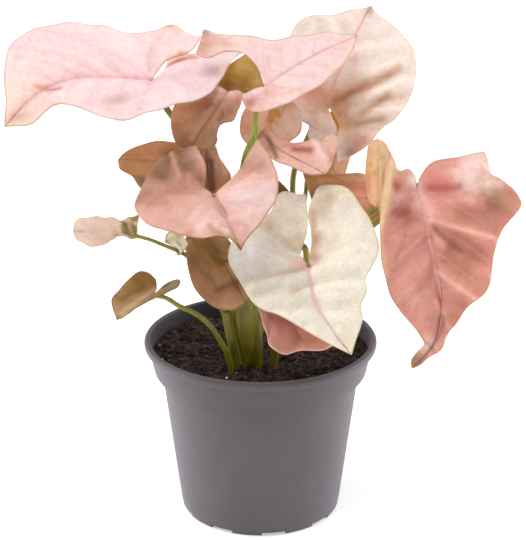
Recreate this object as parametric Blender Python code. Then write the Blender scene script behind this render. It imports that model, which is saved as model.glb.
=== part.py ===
"""Potted syngonium: an arrowhead plant with pink, cream and brown leaves in a grey nursery pot.

Lengths below are in millimetres and the model is built in metres.
Z is up, the camera side is -Y, and the origin is the centre of the pot's flat underside.
"""
import math
import random

import bmesh
import bpy
import numpy as np

MM = 0.001

# Driving dimensions.
RIM_DIAMETER = 120.0
POT_HEIGHT = 94.0
BASE_DIAMETER = 82.0
COLLAR_HEIGHT = 17.6
WALL = 1.4
SOIL_LEVEL = 86.0
BLADE_THICKNESS = 0.8
GAP = 0.3

# The pot's collar and wall, as distances in from the rim.
POT_SIDES = 40
LIP_WIDTH = 3.2
LIP_DROP = 4.0
COLLAR_TOP_IN = 2.6
COLLAR_LOW_IN = 5.2
BODY_TOP_IN = 9.2

# The pot's underside: a flat pad, a ring of foot segments between notches, and drain holes.
FLOOR_THICKNESS = 2.4
PAD_RADIUS = 13.0
FOOT_WIDTH = 6.0
FOOT_HEIGHT = 2.0
NOTCHES = 9
NOTCH_ANGLE = 18.0
FIRST_NOTCH = 10.0
DRAIN_HOLES = 8
DRAIN_RADIUS = 3.0
DRAIN_CIRCLE = 24.0

# The soil's top: how uneven it is, and the radii of its rings inside the pot's wall.
SOIL_ROUGHNESS = 0.9
SOIL_RINGS = (50.0, 39.0, 27.0, 14.0)

# How finely the leaves and stems are divided.
BLADE_SPACING = 8.5
NARROW_HALF = 15.0
STALK_SIDES = 6
STALK_SPACING = 16.0

COLORS = {
    "pot": (0.16, 0.15, 0.165),
    "soil": (0.03, 0.02, 0.018),
    "stem": (0.16, 0.2, 0.03),
    "pink": (0.9, 0.66, 0.65),
    "cream": (0.85, 0.79, 0.69),
    "salmon": (0.72, 0.31, 0.25),
    "rose": (0.55, 0.2, 0.17),
    "brown": (0.36, 0.2, 0.12),
    "olive": (0.33, 0.23, 0.06),
}


# Sheathed shoots that stand in the soil, as (x, y, z, radius) from the foot up. Each cutting is a node
# of its own; the main one has a side shoot that grows out of it.
CUTTINGS = {
    "stems_main": [
        [(-7, -22, 78, 3.0), (-7, -22, 89, 3.2), (-6.5, -22, 99, 5.4), (-7, -22, 108, 6.3),
         (-7.5, -22, 118, 6.8), (-8, -22, 128, 4.5)],
        [(-1, -24.5, 78, 1.8), (-1, -24.5, 90, 2.0), (-1, -23, 102, 2.5), (-2, -20, 114, 2.0)],
    ],
    "stems_left": [[(-12, -25.3, 78, 1.6), (-12, -25.3, 89, 1.7), (-14.9, -25.7, 104, 2.2),
                    (-17.2, -24.7, 118, 2.4)]],
    "stems_front": [[(-14.7, -28.4, 78, 1.4), (-14.7, -28.4, 89, 1.4), (-17.4, -29.4, 100, 1.6)]],
    "stems_right": [[(6.5, -22.5, 78, 1.9), (6.5, -22.5, 90, 2.1), (9, -21, 100, 2.5),
                     (13, -19, 108, 2.0)]],
}

# Each leaf: its tint, where the stalk meets the blade, where the tip is, the way the upper face looks,
# how far each half is folded up (degrees), the rise of the midrib, and the outline of each half as
# (along the midrib from the junction, across it). "margin" runs from the tip towards the junction,
# "lobe" from there to the end of the back lobe, and "notch" back to the junction.
LEAVES = {
    "leaf_far_left": dict(
        tint="pink", stems="stems_main", junction=(-53, -2, 231), tip=(-121, -42, 219), face=(0, -5, 8.7),
        fold=(13, 13), rise=5, belly=2, midrib=[(56, -11), (37, -12), (15, -5)],
        left=dict(margin=[(70, 7), (52, 1), (45, 11), (35, 30), (18, 30)],
                  lobe=[(-4, 26), (-15, 25), (-32, 13), (-49, -3), (-60, -8)],
                  notch=[(-45, -13), (-34, -17), (-25, -20), (-19, -17), (-14, -11)]),
        right=dict(margin=[(74, 11), (65, 31), (55, 41), (33, 43), (13, 38)],
                   lobe=[(-8, 29), (-27, 30), (-34, 23), (-39, 19)],
                   notch=[(-28, 12), (-14, 10), (-5, 4)]),
        stalk=(2.0, 1.6, [(-47, 0, 217), (-43, 0, 211), (-34, 6, 188), (-25, -6, 158), (-14, -20, 122)])),
    "leaf_top_centre": dict(
        tint="pink", stems="stems_main", junction=(2, -8, 229), tip=(49, 30, 245), face=(0.5, -5.5, 8.3),
        fold=(8, 8), rise=4, belly=1, midrib=[],
        left=dict(margin=[(51, 7), (34, 13), (20, 19)],
                  lobe=[(12, 27), (6, 33), (0, 38), (-3, 44), (-7, 41), (-15, 35)],
                  notch=[(-12, 30), (-2, 27), (4, 20), (4, 10)]),
        right=dict(margin=[(44, 12), (24, 18), (9, 18)],
                   lobe=[(-3, 15), (-11, 12), (-15, 5), (-11, -4)],
                   notch=[(-5, -3)]),
        stalk=(2.0, 1.5, [(-2, -14, 218), (-3, -16, 207), (-7, -18, 198), (-10, -21, 175),
                          (-9, -22, 124)])),
    "leaf_top_back": dict(
        tint="cream", stems="stems_main", junction=(34, 26, 210), tip=(57, 58, 254), face=(1, -7.5, 6.5),
        fold=(6, 6), rise=4, belly=1, midrib=[(44, 1), (28, 1), (13, 1)],
        left=dict(margin=[(47, 13), (34, 30), (21, 31), (8, 28)],
                  lobe=[(-2, 25), (-10, 19), (-13, 11), (-13, 5), (-18, 3), (-22, -4)],
                  notch=[(-17, -9), (-9, -9), (-4, -4)]),
        right=dict(margin=[(54, 8), (50, 20), (39, 32), (22, 37)],
                   lobe=[(7, 35), (-2, 30), (-13, 26), (-20, 21), (-25, 16)],
                   notch=[(-19, 13), (-12, 10), (-8, 10), (-4, 6)]),
        stalk=(1.8, 1.5, [(29, 30, 202), (23, 24, 191), (17, 15, 178), (16, 5, 164),
                          (12, -8, 139), (0, -20, 106)])),
    "leaf_under_back": dict(
        tint="olive", stems="stems_main", junction=(32, 32, 190), tip=(40, 24, 167), face=(1, -9, 4),
        fold=(5, 5), rise=1, belly=0.5, midrib=[],
        left=dict(margin=[(23, 3), (18, 7), (12, 11)], lobe=[(6, 14), (-4, 14), (-12, 11), (-12, 5)],
                  notch=[(-6, 3)]),
        right=dict(margin=[(22, 4), (13, 6)], lobe=[(5, 8), (0, 5)], notch=[(-2, 3)]),
        stalk=(1.6, 1.2, [(29, 36, 184), (25, 34, 176), (23, 22, 163), (17, 4, 144), (0, -19, 107)])),
    "leaf_centre_pale": dict(
        tint="pink", stems="stems_main", junction=(5, 14, 215), tip=(5, 4, 193), face=(0, -9, 4.2),
        fold=(10, 10), rise=3, belly=1, midrib=[],
        left=dict(margin=[(22, 5), (20, 10), (16, 15)], lobe=[(10, 16), (3, 14), (-3, 8)], notch=[(-2, 3)]),
        right=dict(margin=[(24, 6), (22, 11), (17, 15)], lobe=[(9, 15), (2, 12), (-3, 7)], notch=[(-2, 3)]),
        stalk=(1.6, 1.2, [(4, 18, 203), (2, 8, 187), (1, -6, 160), (-4, -18, 121)])),
    "leaf_centre_band": dict(
        tint="pink", stems="stems_main", junction=(1, -4, 206), tip=(32, -22, 189), face=(2, -8, 5.5),
        fold=(12, 5), rise=3, belly=1, midrib=[(32, -2), (22, -4), (12, -4)],
        left=dict(margin=[(39, 7), (32, 18), (25, 9), (18, 3), (11, 1), (5, 2)], lobe=[(0, 4)], notch=[]),
        right=dict(margin=[(34, 6), (24, 9), (16, 11), (6, 8)], lobe=[(0, 4)], notch=[]),
        stalk=(1.4, 1.1, [(-1, -8, 203), (-1, -12, 188), (-4, -17, 158), (-6, -21, 120)])),
    "leaf_back_olive": dict(
        tint="olive", stems="stems_main", junction=(2, 20, 220), tip=(-5, 36, 236), face=(0, -8, 6),
        fold=(0, 0), rise=1, belly=0.5, midrib=[],
        left=dict(margin=[(19, 12), (14, 21)], lobe=[(6, 24), (1, 20)], notch=[(1, 9)]),
        right=dict(margin=[(16, 3), (8, 4)], lobe=[(2, 4)], notch=[]),
        stalk=(1.2, 1.0, [(0, 32, 212), (0, 30, 203), (0, 14, 187), (-3, -6, 159), (-7, -18, 121)])),
    "leaf_dark_olive": dict(
        tint="olive", stems="stems_main", junction=(8, -8, 170), tip=(8, -4, 181), face=(0, -9, 4),
        fold=(3, 3), rise=0, belly=0.3, midrib=[],
        left=dict(margin=[(8, 3), (3, 5)], lobe=[(-2, 6), (-5, 4)], notch=[(-2, 2)]),
        right=dict(margin=[(8, 4), (4, 7)], lobe=[(-2, 8), (-5, 5)], notch=[(-2, 2)]),
        stalk=(1.2, 0.9, [(6, -10, 159), (-1, -18, 124), (-5, -21, 114)])),
    "leaf_front_left": dict(
        tint="pink", stems="stems_main", junction=(-22, -52, 189), tip=(-9, -78, 170), face=(-1, -7, 7),
        fold=(9, 9), rise=4, belly=2, midrib=[],
        left=dict(margin=[(32, 4), (28, 14), (21, 25)],
                  lobe=[(12, 30), (-4, 32), (-19, 31)],
                  notch=[(-14, 24), (-7, 16), (-2, 5)]),
        right=dict(margin=[(29, 2), (25, 7), (23, 16), (15, 27), (6, 35)],
                   lobe=[(-10, 37), (-19, 30), (-31, 19), (-34, 6), (-33, -3)],
                   notch=[(-20, -3), (-7, 2)]),
        stalk=(1.8, 1.4, [(-23, -37, 177), (-23, -19, 166), (-19, -15, 147), (-12, -22, 118)])),
    "leaf_brown_upper": dict(
        tint="brown", stems="stems_main", junction=(-16, 4, 223), tip=(-34, -18, 201), face=(-0.5, -8.5, 5),
        fold=(8, 8), rise=3, belly=1.5, midrib=[],
        left=dict(margin=[(34, 6), (30, 10), (25, 8), (18, 7)],
                  lobe=[(14, 11), (8, 10), (2, 9), (-4, 6)],
                  notch=[(-4, 3)]),
        right=dict(margin=[(38, 6), (33, 13), (26, 17)], lobe=[(17, 18), (8, 16), (1, 11)], notch=[(0, 5)]),
        stalk=(1.6, 1.2, [(-24, 5, 208), (-28, 0, 195), (-27, -8, 176), (-14, -19, 124)])),
    "leaf_brown_lower": dict(
        tint="brown", stems="stems_main", junction=(-28, -8, 202), tip=(-23, -28, 179), face=(1, -8.5, 5),
        fold=(6, 6), rise=2, belly=1, midrib=[],
        left=dict(margin=[(23, 10), (12, 6)], lobe=[(4, 5), (-2, 4)], notch=[(-2, 2)]),
        right=dict(margin=[(27, 4), (16, 6)], lobe=[(5, 8), (-3, 5)], notch=[(-3, 2)]),
        stalk=(1.4, 1.1, [(-26, -5, 191), (-25, -12, 172), (-13, -20, 122)])),
    "leaf_left_olive": dict(
        tint="olive", stems="stems_main", junction=(-37, -9, 189), tip=(-69, -27, 198), face=(-1, -7, 7),
        fold=(8, 8), rise=2, belly=1, midrib=[],
        left=dict(margin=[(38, 6), (33, 10)], lobe=[(30, 18), (20, 19), (5, 12)], notch=[(1, 5)]),
        right=dict(margin=[(35, 3), (28, 7), (15, 11)], lobe=[(4, 12), (-6, 12)], notch=[(-4, 5)]),
        stalk=(1.4, 1.1, [(-35, -13, 178), (-25, -15, 154), (-13, -22, 120)])),
    "leaf_small_left": dict(
        tint="cream", stems="stems_left", junction=(-60, -30, 161), tip=(-90, -46, 168), face=(-1, -6, 8),
        fold=(10, 10), rise=1, belly=0.5, midrib=[],
        left=dict(margin=[(35, 3), (33, 8), (26, 11), (19, 8), (12, 3), (6, 4)], lobe=[(0, 3)], notch=[]),
        right=dict(margin=[(34, 2), (32, 6), (24, 8), (13, 8)], lobe=[(5, 8), (0, 10), (-4, 12)],
                   notch=[(-1, 5)]),
        stalk=(1.3, 1.0, [(-54, -30, 158), (-47, -30, 155), (-36, -29, 149), (-25, -27, 132),
                          (-16.4, -25, 112)])),
    "leaf_bract": dict(
        tint="olive", stems="stems_left", junction=(-37, -38, 155), tip=(-46, -45, 162), face=(-1, -8, 5),
        fold=(4, 4), rise=0, belly=0.3, midrib=[(11, -3), (6, -3)],
        left=dict(margin=[(12, 0), (8, 0)], lobe=[(5, 0), (2, 2)], notch=[]),
        right=dict(margin=[(14, 4), (11, 7)], lobe=[(5, 7), (-1, 4)], notch=[]),
        stalk=(1.0, 0.8, [(-40, -34, 152), (-40, -29, 151)])),
    "leaf_low_left": dict(
        tint="olive", stems="stems_front", junction=(-52, -36, 132), tip=(-70, -50, 124), face=(-2, -6, 8),
        fold=(30, 10), rise=1, belly=0.5, midrib=[],
        left=dict(margin=[(22, 3), (7, 4)], lobe=[(0, 7), (-5, 7), (-10, 7), (-14, 4)],
                  notch=[(-15, 0), (-12, -3), (-7, -3)]),
        right=dict(margin=[(19, 10), (12, 12), (4, 14)], lobe=[(-3, 15), (-6, 12), (-6, 6)],
                   notch=[(-3, 2)]),
        stalk=(1.6, 1.2, [(-47, -36, 130), (-40, -35, 125), (-32, -33, 120), (-25, -31, 113),
                          (-16.8, -29.2, 98)])),
    "leaf_brown_front": dict(
        tint="brown", stems="stems_left", junction=(-26, -28, 159), tip=(-7, -45, 131), face=(0, -8, 6),
        fold=(7, 7), rise=3, belly=1.5, midrib=[],
        left=dict(margin=[(35, 5), (27, 8)], lobe=[(16, 9), (6, 8)], notch=[(1, 5)]),
        right=dict(margin=[(38, 8), (33, 15), (21, 19)],
                   lobe=[(8, 16), (-4, 10), (-8, 3)],
                   notch=[(-4, 1)]),
        stalk=(1.6, 1.2, [(-25, -25, 146), (-17.4, -24.7, 117)])),
    "leaf_front_cream": dict(
        tint="cream", stems="stems_main", junction=(23, -48, 152), tip=(43, -84, 120),
        face=(-0.5, -7.5, 6.5), fold=(7, 7), rise=4, belly=2, midrib=[(41, -3), (25, -5), (15, -4)],
        left=dict(margin=[(40, 11), (33, 14), (28, 19), (22, 21), (17, 27)],
                  lobe=[(11, 33), (1, 36), (-19, 36), (-33, 32), (-37, 23), (-33, 16)],
                  notch=[(-26, 11), (-18, 9), (-10, 6), (-4, 2)]),
        right=dict(margin=[(46, 6), (36, 14), (22, 24), (13, 32), (-3, 34)],
                   lobe=[(-20, 34), (-31, 23), (-35, 7), (-44, -4), (-39, -15)],
                   notch=[(-27, -11), (-20, -8), (-15, -5), (-9, 0), (-5, 1)]),
        stalk=(2.0, 1.6, [(22.5, -41, 150), (22, -32, 154), (20, -26, 153), (17, -20, 144), (12, -16, 127),
                          (-1, -21, 104)])),
    "leaf_rose_under": dict(
        tint="rose", stems="stems_right", junction=(14, -35, 125), tip=(37, -59, 115), face=(0.5, -7, 7),
        fold=(5, 5), rise=2, belly=1, midrib=[],
        left=dict(margin=[(29, 6), (21, 11)], lobe=[(8, 13), (-4, 13)], notch=[(-2, 7)]),
        right=dict(margin=[(33, 8), (25, 17), (22, 23)],
                   lobe=[(13, 24), (6, 20), (-11, 11)],
                   notch=[(-8, 3)]),
        stalk=(1.5, 1.2, [(12, -28, 112), (9, -21, 99)])),
    "leaf_back_right": dict(
        tint="brown", stems="stems_right", junction=(58, 8, 166), tip=(26, 4, 166), face=(1, -7.5, 6.5),
        fold=(4, 4), rise=2, belly=1, midrib=[],
        left=dict(margin=[(30, 9), (20, 15)], lobe=[(5, 14), (-5, 13)], notch=[(-3, 7)]),
        right=dict(margin=[(34, 9), (35, 17)], lobe=[(22, 14), (4, 13), (-10, 9)], notch=[(-5, 3)]),
        stalk=(1.6, 1.2, [(52, 8, 161), (38, -2, 148), (20, -12, 119), (12, -19, 103)])),
    "leaf_right_peach": dict(
        tint="salmon", stems="stems_right", junction=(58, -14, 169), tip=(58, -2, 201), face=(-2.5, -8, 3),
        fold=(-8, -8), rise=-2, belly=-1, midrib=[],
        left=dict(margin=[(33, 4), (28, 6), (18, 7)], lobe=[(8, 6), (2, 4)], notch=[]),
        right=dict(margin=[(33, 3), (28, 6), (20, 9)], lobe=[(10, 9), (1, 4)], notch=[]),
        stalk=(1.5, 1.2, [(55, -8, 164), (44, -10, 152), (22, -16, 121), (12, -20, 102)])),
    "leaf_right_salmon": dict(
        tint="salmon", stems="stems_right", junction=(76, -30, 186), tip=(73, -66, 105), face=(1.5, -8, 6),
        fold=(12, 8), rise=9, belly=2, midrib=[(76, 10), (64, 12), (53, 11), (36, 7), (15, 3)],
        left=dict(margin=[(87, 4), (83, 8), (79, 13), (72, 16), (59, 24), (50, 33)],
                  lobe=[(32, 36), (21, 40), (7, 50), (-1, 44), (-8, 36), (-18, 33)],
                  notch=[(-15, 21), (-12, 8), (-5, 2)]),
        right=dict(margin=[(85, 1), (80, -2), (78, -6), (71, -1), (61, 9), (52, 15)],
                   lobe=[(37, 19), (26, 20), (8, 19), (-6, 16), (-16, 14)],
                   notch=[(-7, 9), (-8, 4), (-5, 1)]),
        stalk=(2.1, 1.7, [(68, -22, 174), (58, -19, 164), (40, -16, 146), (20, -16, 114), (11, -20, 100)])),
}


def clear_scene():
    for thing in list(bpy.data.objects):
        bpy.data.objects.remove(thing, do_unlink=True)


def material(name, color, roughness):
    made = bpy.data.materials.new(name)
    made.use_nodes = True
    shader = made.node_tree.nodes["Principled BSDF"]
    shader.inputs["Base Color"].default_value = (*color, 1.0)
    shader.inputs["Roughness"].default_value = roughness
    shader.inputs["Metallic"].default_value = 0.0
    return made


def add_object(name, vertices, faces, color, roughness=0.5):
    """A named object from points in millimetres, with outward faces and its own material."""
    mesh = bpy.data.meshes.new(name)
    mesh.from_pydata([tuple(float(c) * MM for c in v) for v in vertices], [], [tuple(f) for f in faces])
    work = bmesh.new()
    work.from_mesh(mesh)
    bmesh.ops.recalc_face_normals(work, faces=work.faces)
    work.to_mesh(mesh)
    work.free()
    made = bpy.data.objects.new(name, mesh)
    bpy.context.collection.objects.link(made)
    made.data.materials.append(material(name, color, roughness))
    return made


def join_by_boolean(target, others, operation):
    """Adds the other closed objects to the target, or cuts them out of it, and removes them."""
    group = bpy.data.collections.new("tools")
    bpy.context.scene.collection.children.link(group)
    for other in others:
        bpy.context.collection.objects.unlink(other)
        group.objects.link(other)
    step = target.modifiers.new("join", "BOOLEAN")
    step.operand_type = "COLLECTION"
    step.collection = group
    step.operation = operation
    step.solver = "EXACT"
    bpy.context.view_layer.update()
    depsgraph = bpy.context.evaluated_depsgraph_get()
    result = bpy.data.meshes.new_from_object(target.evaluated_get(depsgraph))
    target.modifiers.clear()
    target.data = result
    for other in others:
        bpy.data.objects.remove(other, do_unlink=True)
    bpy.data.collections.remove(group)


def smooth_shading(target, angle=40.0):
    target.data.shade_smooth()
    target.data.set_sharp_from_angle(angle=math.radians(angle))


def unit(vector):
    vector = np.asarray(vector, float)
    return vector / np.linalg.norm(vector)


def path_length(points):
    return np.linalg.norm(np.diff(np.asarray(points, float), axis=0), axis=1).sum()


def step_count(length, fewest, most):
    return int(np.clip(round(length / BLADE_SPACING), fewest, most))


def spaced(points, steps):
    """The same path with its points evenly spaced along it."""
    lengths = np.linalg.norm(np.diff(points, axis=0), axis=1)
    travelled = np.concatenate([[0.0], np.cumsum(lengths)])
    wanted = np.linspace(0.0, travelled[-1], steps + 1)
    return np.stack([np.interp(wanted, travelled, column) for column in points.T], axis=1)


def smooth_path(points, per_span=10):
    """A rounded path through the points: Catmull-Rom spans on square-root chord spacing."""
    points = np.asarray(points, float)
    if len(points) < 3:
        return spaced(points, per_span)
    chords = np.maximum(np.linalg.norm(np.diff(points, axis=0), axis=1), 1e-6)
    knots = np.concatenate([[0.0], np.cumsum(np.sqrt(chords))])
    knots = np.concatenate([[-knots[1]], knots, [2 * knots[-1] - knots[-2]]])
    padded = np.vstack([2 * points[0] - points[1], points, 2 * points[-1] - points[-2]])
    path = []
    for span in range(len(points) - 1):
        p0, p1, p2, p3 = padded[span:span + 4]
        t0, t1, t2, t3 = knots[span:span + 4]
        for t in np.linspace(t1, t2, per_span, endpoint=False):
            a1 = ((t1 - t) * p0 + (t - t0) * p1) / (t1 - t0)
            a2 = ((t2 - t) * p1 + (t - t1) * p2) / (t2 - t1)
            a3 = ((t3 - t) * p2 + (t - t2) * p3) / (t3 - t2)
            b1 = ((t2 - t) * a1 + (t - t0) * a2) / (t2 - t0)
            b2 = ((t3 - t) * a2 + (t - t1) * a3) / (t3 - t1)
            path.append(((t2 - t) * b1 + (t - t1) * b2) / (t2 - t1))
    path.append(points[-1])
    return np.array(path)


class Blade:
    """A leaf's own axes: along the midrib, across it to the leaf's left, and up from its face."""

    def __init__(self, leaf):
        self.leaf = leaf
        self.junction = np.array(leaf["junction"], float)
        reach = np.array(leaf["tip"], float) - self.junction
        self.length = np.linalg.norm(reach)
        self.along = reach / self.length
        face = np.array(leaf["face"], float)
        self.up = unit(face - (face @ self.along) * self.along)
        self.across = np.cross(self.up, self.along)
        margins = [path_length([(self.length, 0)] + leaf[key]["margin"]) for key in ("left", "right")]
        self.rib_steps = step_count(sum(margins) / 2, 4, 9)
        lobes = [path_length(leaf[key]["margin"][-1:] + leaf[key]["lobe"]) for key in ("left", "right")]
        self.lobe_steps = step_count(max(lobes), 2, 6)
        widest = max(across for key in ("left", "right") for _, across in leaf[key]["margin"])
        self.columns = 3 if widest > NARROW_HALF else 2

    def rise(self, a):
        """How far the bowed midrib stands above the straight line from junction to tip."""
        share = a / self.length
        front = 4 * share * (1 - np.clip(share, -1.0, 1.3))
        back = 4 * share / (1 + 2 * np.abs(share))
        return self.leaf["rise"] * np.where(share > 0, front, back)

    def place(self, points, side, fold):
        """World points for (along, across) points on one half; side is 1 for left and -1 for right."""
        a, b = np.asarray(points, float).T
        lift = b * math.sin(fold) + self.rise(a)
        flat = np.outer(a, self.along) + np.outer(b * math.cos(fold) * side, self.across)
        return self.junction + flat + np.outer(lift, self.up)

    def half(self, key):
        """Rows of points from the midrib out to the margin, from the tip back to the lobe's end."""
        side = 1 if key == "left" else -1
        fold = math.radians(self.leaf["fold"][0 if key == "left" else 1])
        outline = self.leaf[key]
        tip, foot = (self.length, 0.0), (0.0, 0.0)
        rib = spaced(smooth_path([tip] + self.leaf["midrib"] + [foot]), self.rib_steps)
        notch = smooth_path([foot] + outline["notch"][::-1] + outline["lobe"][-1:])
        inner = np.vstack([self.place(rib, 1, 0.0),
                           self.place(spaced(notch, self.lobe_steps)[1:], side, fold)])
        edge = smooth_path([tip] + outline["margin"] + outline["lobe"])
        widest = int(np.argmin(np.linalg.norm(edge - outline["margin"][-1], axis=1)))
        outer = np.vstack([spaced(edge[:widest + 1], self.rib_steps),
                           spaced(edge[widest:], self.lobe_steps)[1:]])
        outer = self.place(outer, side, fold)
        half_up = math.cos(fold) * self.up - side * math.sin(fold) * self.across
        width = np.linalg.norm(outer - inner, axis=1)
        rows = []
        for column in range(self.columns + 1):
            s = column / self.columns
            swell = self.leaf["belly"] * 4 * s * (1 - s) * np.minimum(width / 20.0, 1.0)
            rows.append(inner * (1 - s) + outer * s + np.outer(swell, half_up))
        return np.stack(rows, axis=1)


def blade_sheet(leaf):
    """The blade's middle surface as shared points and triangles."""
    blade = Blade(leaf)
    points = []
    numbers = {}

    def number(key, place):
        if key not in numbers:
            numbers[key] = len(points)
            points.append(place)
        return numbers[key]

    triangles = []
    last = blade.rib_steps + blade.lobe_steps
    for key in ("left", "right"):
        rows = blade.half(key)

        def at(row, column):
            if row == 0:
                return number("tip", rows[0, 0])
            if row == last:
                return number((key, last), rows[last, 0])
            if column == 0 and row <= blade.rib_steps:
                return number(("rib", row), rows[row, 0])
            return number((key, row, column), rows[row, column])

        for row in range(last):
            for column in range(blade.columns):
                a, b = at(row, column), at(row, column + 1)
                c, d = at(row + 1, column + 1), at(row + 1, column)
                corners = [(a, b, c), (a, c, d)] if key == "left" else [(c, b, a), (d, c, a)]
                triangles += [t for t in corners if len(set(t)) == 3]
    return np.array(points), triangles


def point_normals(points, triangles):
    normals = np.zeros_like(points)
    for a, b, c in triangles:
        normal = np.cross(points[b] - points[a], points[c] - points[a])
        for corner in (a, b, c):
            normals[corner] += normal
    return normals / np.linalg.norm(normals, axis=1, keepdims=True)


def make_blade(name, leaf):
    """A leaf blade: two like sheets half a thickness above and below the middle surface, and a rim."""
    points, triangles = blade_sheet(leaf)
    offset = point_normals(points, triangles) * BLADE_THICKNESS / 2
    count = len(points)
    faces = [tuple(t) for t in triangles]
    faces += [(c + count, b + count, a + count) for a, b, c in triangles]
    borders = {}
    for a, b, c in triangles:
        for edge in ((a, b), (b, c), (c, a)):
            borders[edge] = True
    for a, b in borders:
        if (b, a) not in borders:
            faces.append((b, a, a + count))
            faces.append((b, a + count, b + count))
    made = add_object(name, np.vstack([points + offset, points - offset]), faces, COLORS[leaf["tint"]], 0.4)
    smooth_shading(made, 60.0)
    return made


def turned(name, profile, sides, color, roughness):
    """A closed body of revolution from a profile whose first and last points lie on the axis."""
    rings = profile[1:-1]
    vertices = [(0.0, 0.0, profile[0][1])]
    for radius, height in rings:
        for k in range(sides):
            angle = 2 * math.pi * k / sides
            vertices.append((radius * math.cos(angle), radius * math.sin(angle), height))
    vertices.append((0.0, 0.0, profile[-1][1]))
    faces = []
    for k in range(sides):
        after = (k + 1) % sides
        faces.append((0, 1 + after, 1 + k))
        for ring in range(len(rings) - 1):
            low = 1 + ring * sides
            high = low + sides
            faces.append((low + k, low + after, high + after, high + k))
        top = 1 + (len(rings) - 1) * sides
        faces.append((len(vertices) - 1, top + k, top + after))
    return add_object(name, vertices, faces, color, roughness)


def cylinder(name, place, radius, low, high, sides=10):
    """A plain cylinder about a vertical line, used as a cutter."""
    ring = [(place[0] + radius * math.cos(2 * math.pi * k / sides),
             place[1] + radius * math.sin(2 * math.pi * k / sides)) for k in range(sides)]
    vertices = [(x, y, low) for x, y in ring] + [(x, y, high) for x, y in ring]
    faces = [tuple(range(sides))[::-1], tuple(range(sides, 2 * sides))]
    faces += [(k, (k + 1) % sides, sides + (k + 1) % sides, sides + k) for k in range(sides)]
    return add_object(name, vertices, faces, COLORS["pot"])


def inner_wall(gap):
    """The pot's inner wall from the floor up to the soil line, moved in by a gap."""
    rim = RIM_DIAMETER / 2
    base = BASE_DIAMETER / 2
    collar_foot = POT_HEIGHT - COLLAR_HEIGHT
    inward = WALL + gap
    return [
        (base - inward - 1.0, FOOT_HEIGHT + FLOOR_THICKNESS + gap), (base - inward + 0.9, 7.0),
        (rim - BODY_TOP_IN - inward, collar_foot - 1.6 + gap),
        (rim - COLLAR_LOW_IN - inward, collar_foot + 1.2 + gap),
        (rim - COLLAR_TOP_IN - inward - 0.2, SOIL_LEVEL),
    ]


def make_pot():
    rim = RIM_DIAMETER / 2
    base = BASE_DIAMETER / 2
    collar_foot = POT_HEIGHT - COLLAR_HEIGHT
    body_top = rim - BODY_TOP_IN
    collar_top = rim - COLLAR_TOP_IN
    collar_low = rim - COLLAR_LOW_IN
    inside_floor = FOOT_HEIGHT + FLOOR_THICKNESS
    profile = [
        (0, 0), (PAD_RADIUS, 0), (PAD_RADIUS + 1.5, FOOT_HEIGHT), (base - FOOT_WIDTH - 1.0, FOOT_HEIGHT),
        (base - FOOT_WIDTH, 0), (base - 0.8, 0), (base, 0.9), (base + 0.9, 6),
        (body_top, collar_foot - 1.2), (collar_low - 0.8, collar_foot - 0.4),
        (collar_low, collar_foot + 0.8), (collar_top, POT_HEIGHT - LIP_DROP - 1.2),
        (rim - 0.4, POT_HEIGHT - LIP_DROP),
        (rim, POT_HEIGHT - 1.6), (rim - 0.7, POT_HEIGHT - 0.3), (rim - 1.8, POT_HEIGHT),
        (rim - LIP_WIDTH, POT_HEIGHT - 0.8), (rim - LIP_WIDTH - 0.5, POT_HEIGHT - 2.4),
    ]
    profile += inner_wall(0.0)[::-1] + [(0, inside_floor)]
    pot = turned("pot", profile, POT_SIDES, COLORS["pot"], 0.55)
    cutters = []
    for k in range(DRAIN_HOLES):
        angle = 2 * math.pi * (k + 0.5) / DRAIN_HOLES
        place = (DRAIN_CIRCLE * math.cos(angle), DRAIN_CIRCLE * math.sin(angle))
        cutters.append(cylinder("drain", place, DRAIN_RADIUS, 1.0, inside_floor + 1.0))
    for k in range(NOTCHES):
        cutters.append(foot_notch(FIRST_NOTCH - 90 + 360 / NOTCHES * k))
    join_by_boolean(pot, cutters, "DIFFERENCE")
    smooth_shading(pot)
    return pot


def foot_notch(middle):
    """A wedge that cuts a gap between two foot segments; its middle is a direction in degrees."""
    base = BASE_DIAMETER / 2
    inner, outer = base - FOOT_WIDTH - 2.0, base + 3.0
    corners = []
    for radius, angle in ((inner, -0.5), (outer, -0.5), (outer, 0.5), (inner, 0.5)):
        turn = math.radians(middle + angle * NOTCH_ANGLE)
        corners.append((radius * math.cos(turn), radius * math.sin(turn)))
    vertices = [(x, y, -1.0) for x, y in corners] + [(x, y, FOOT_HEIGHT - 0.05) for x, y in corners]
    faces = [(3, 2, 1, 0), (4, 5, 6, 7)] + [(k, (k + 1) % 4, 4 + (k + 1) % 4, 4 + k) for k in range(4)]
    return add_object("notch", vertices, faces, COLORS["pot"])


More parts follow.
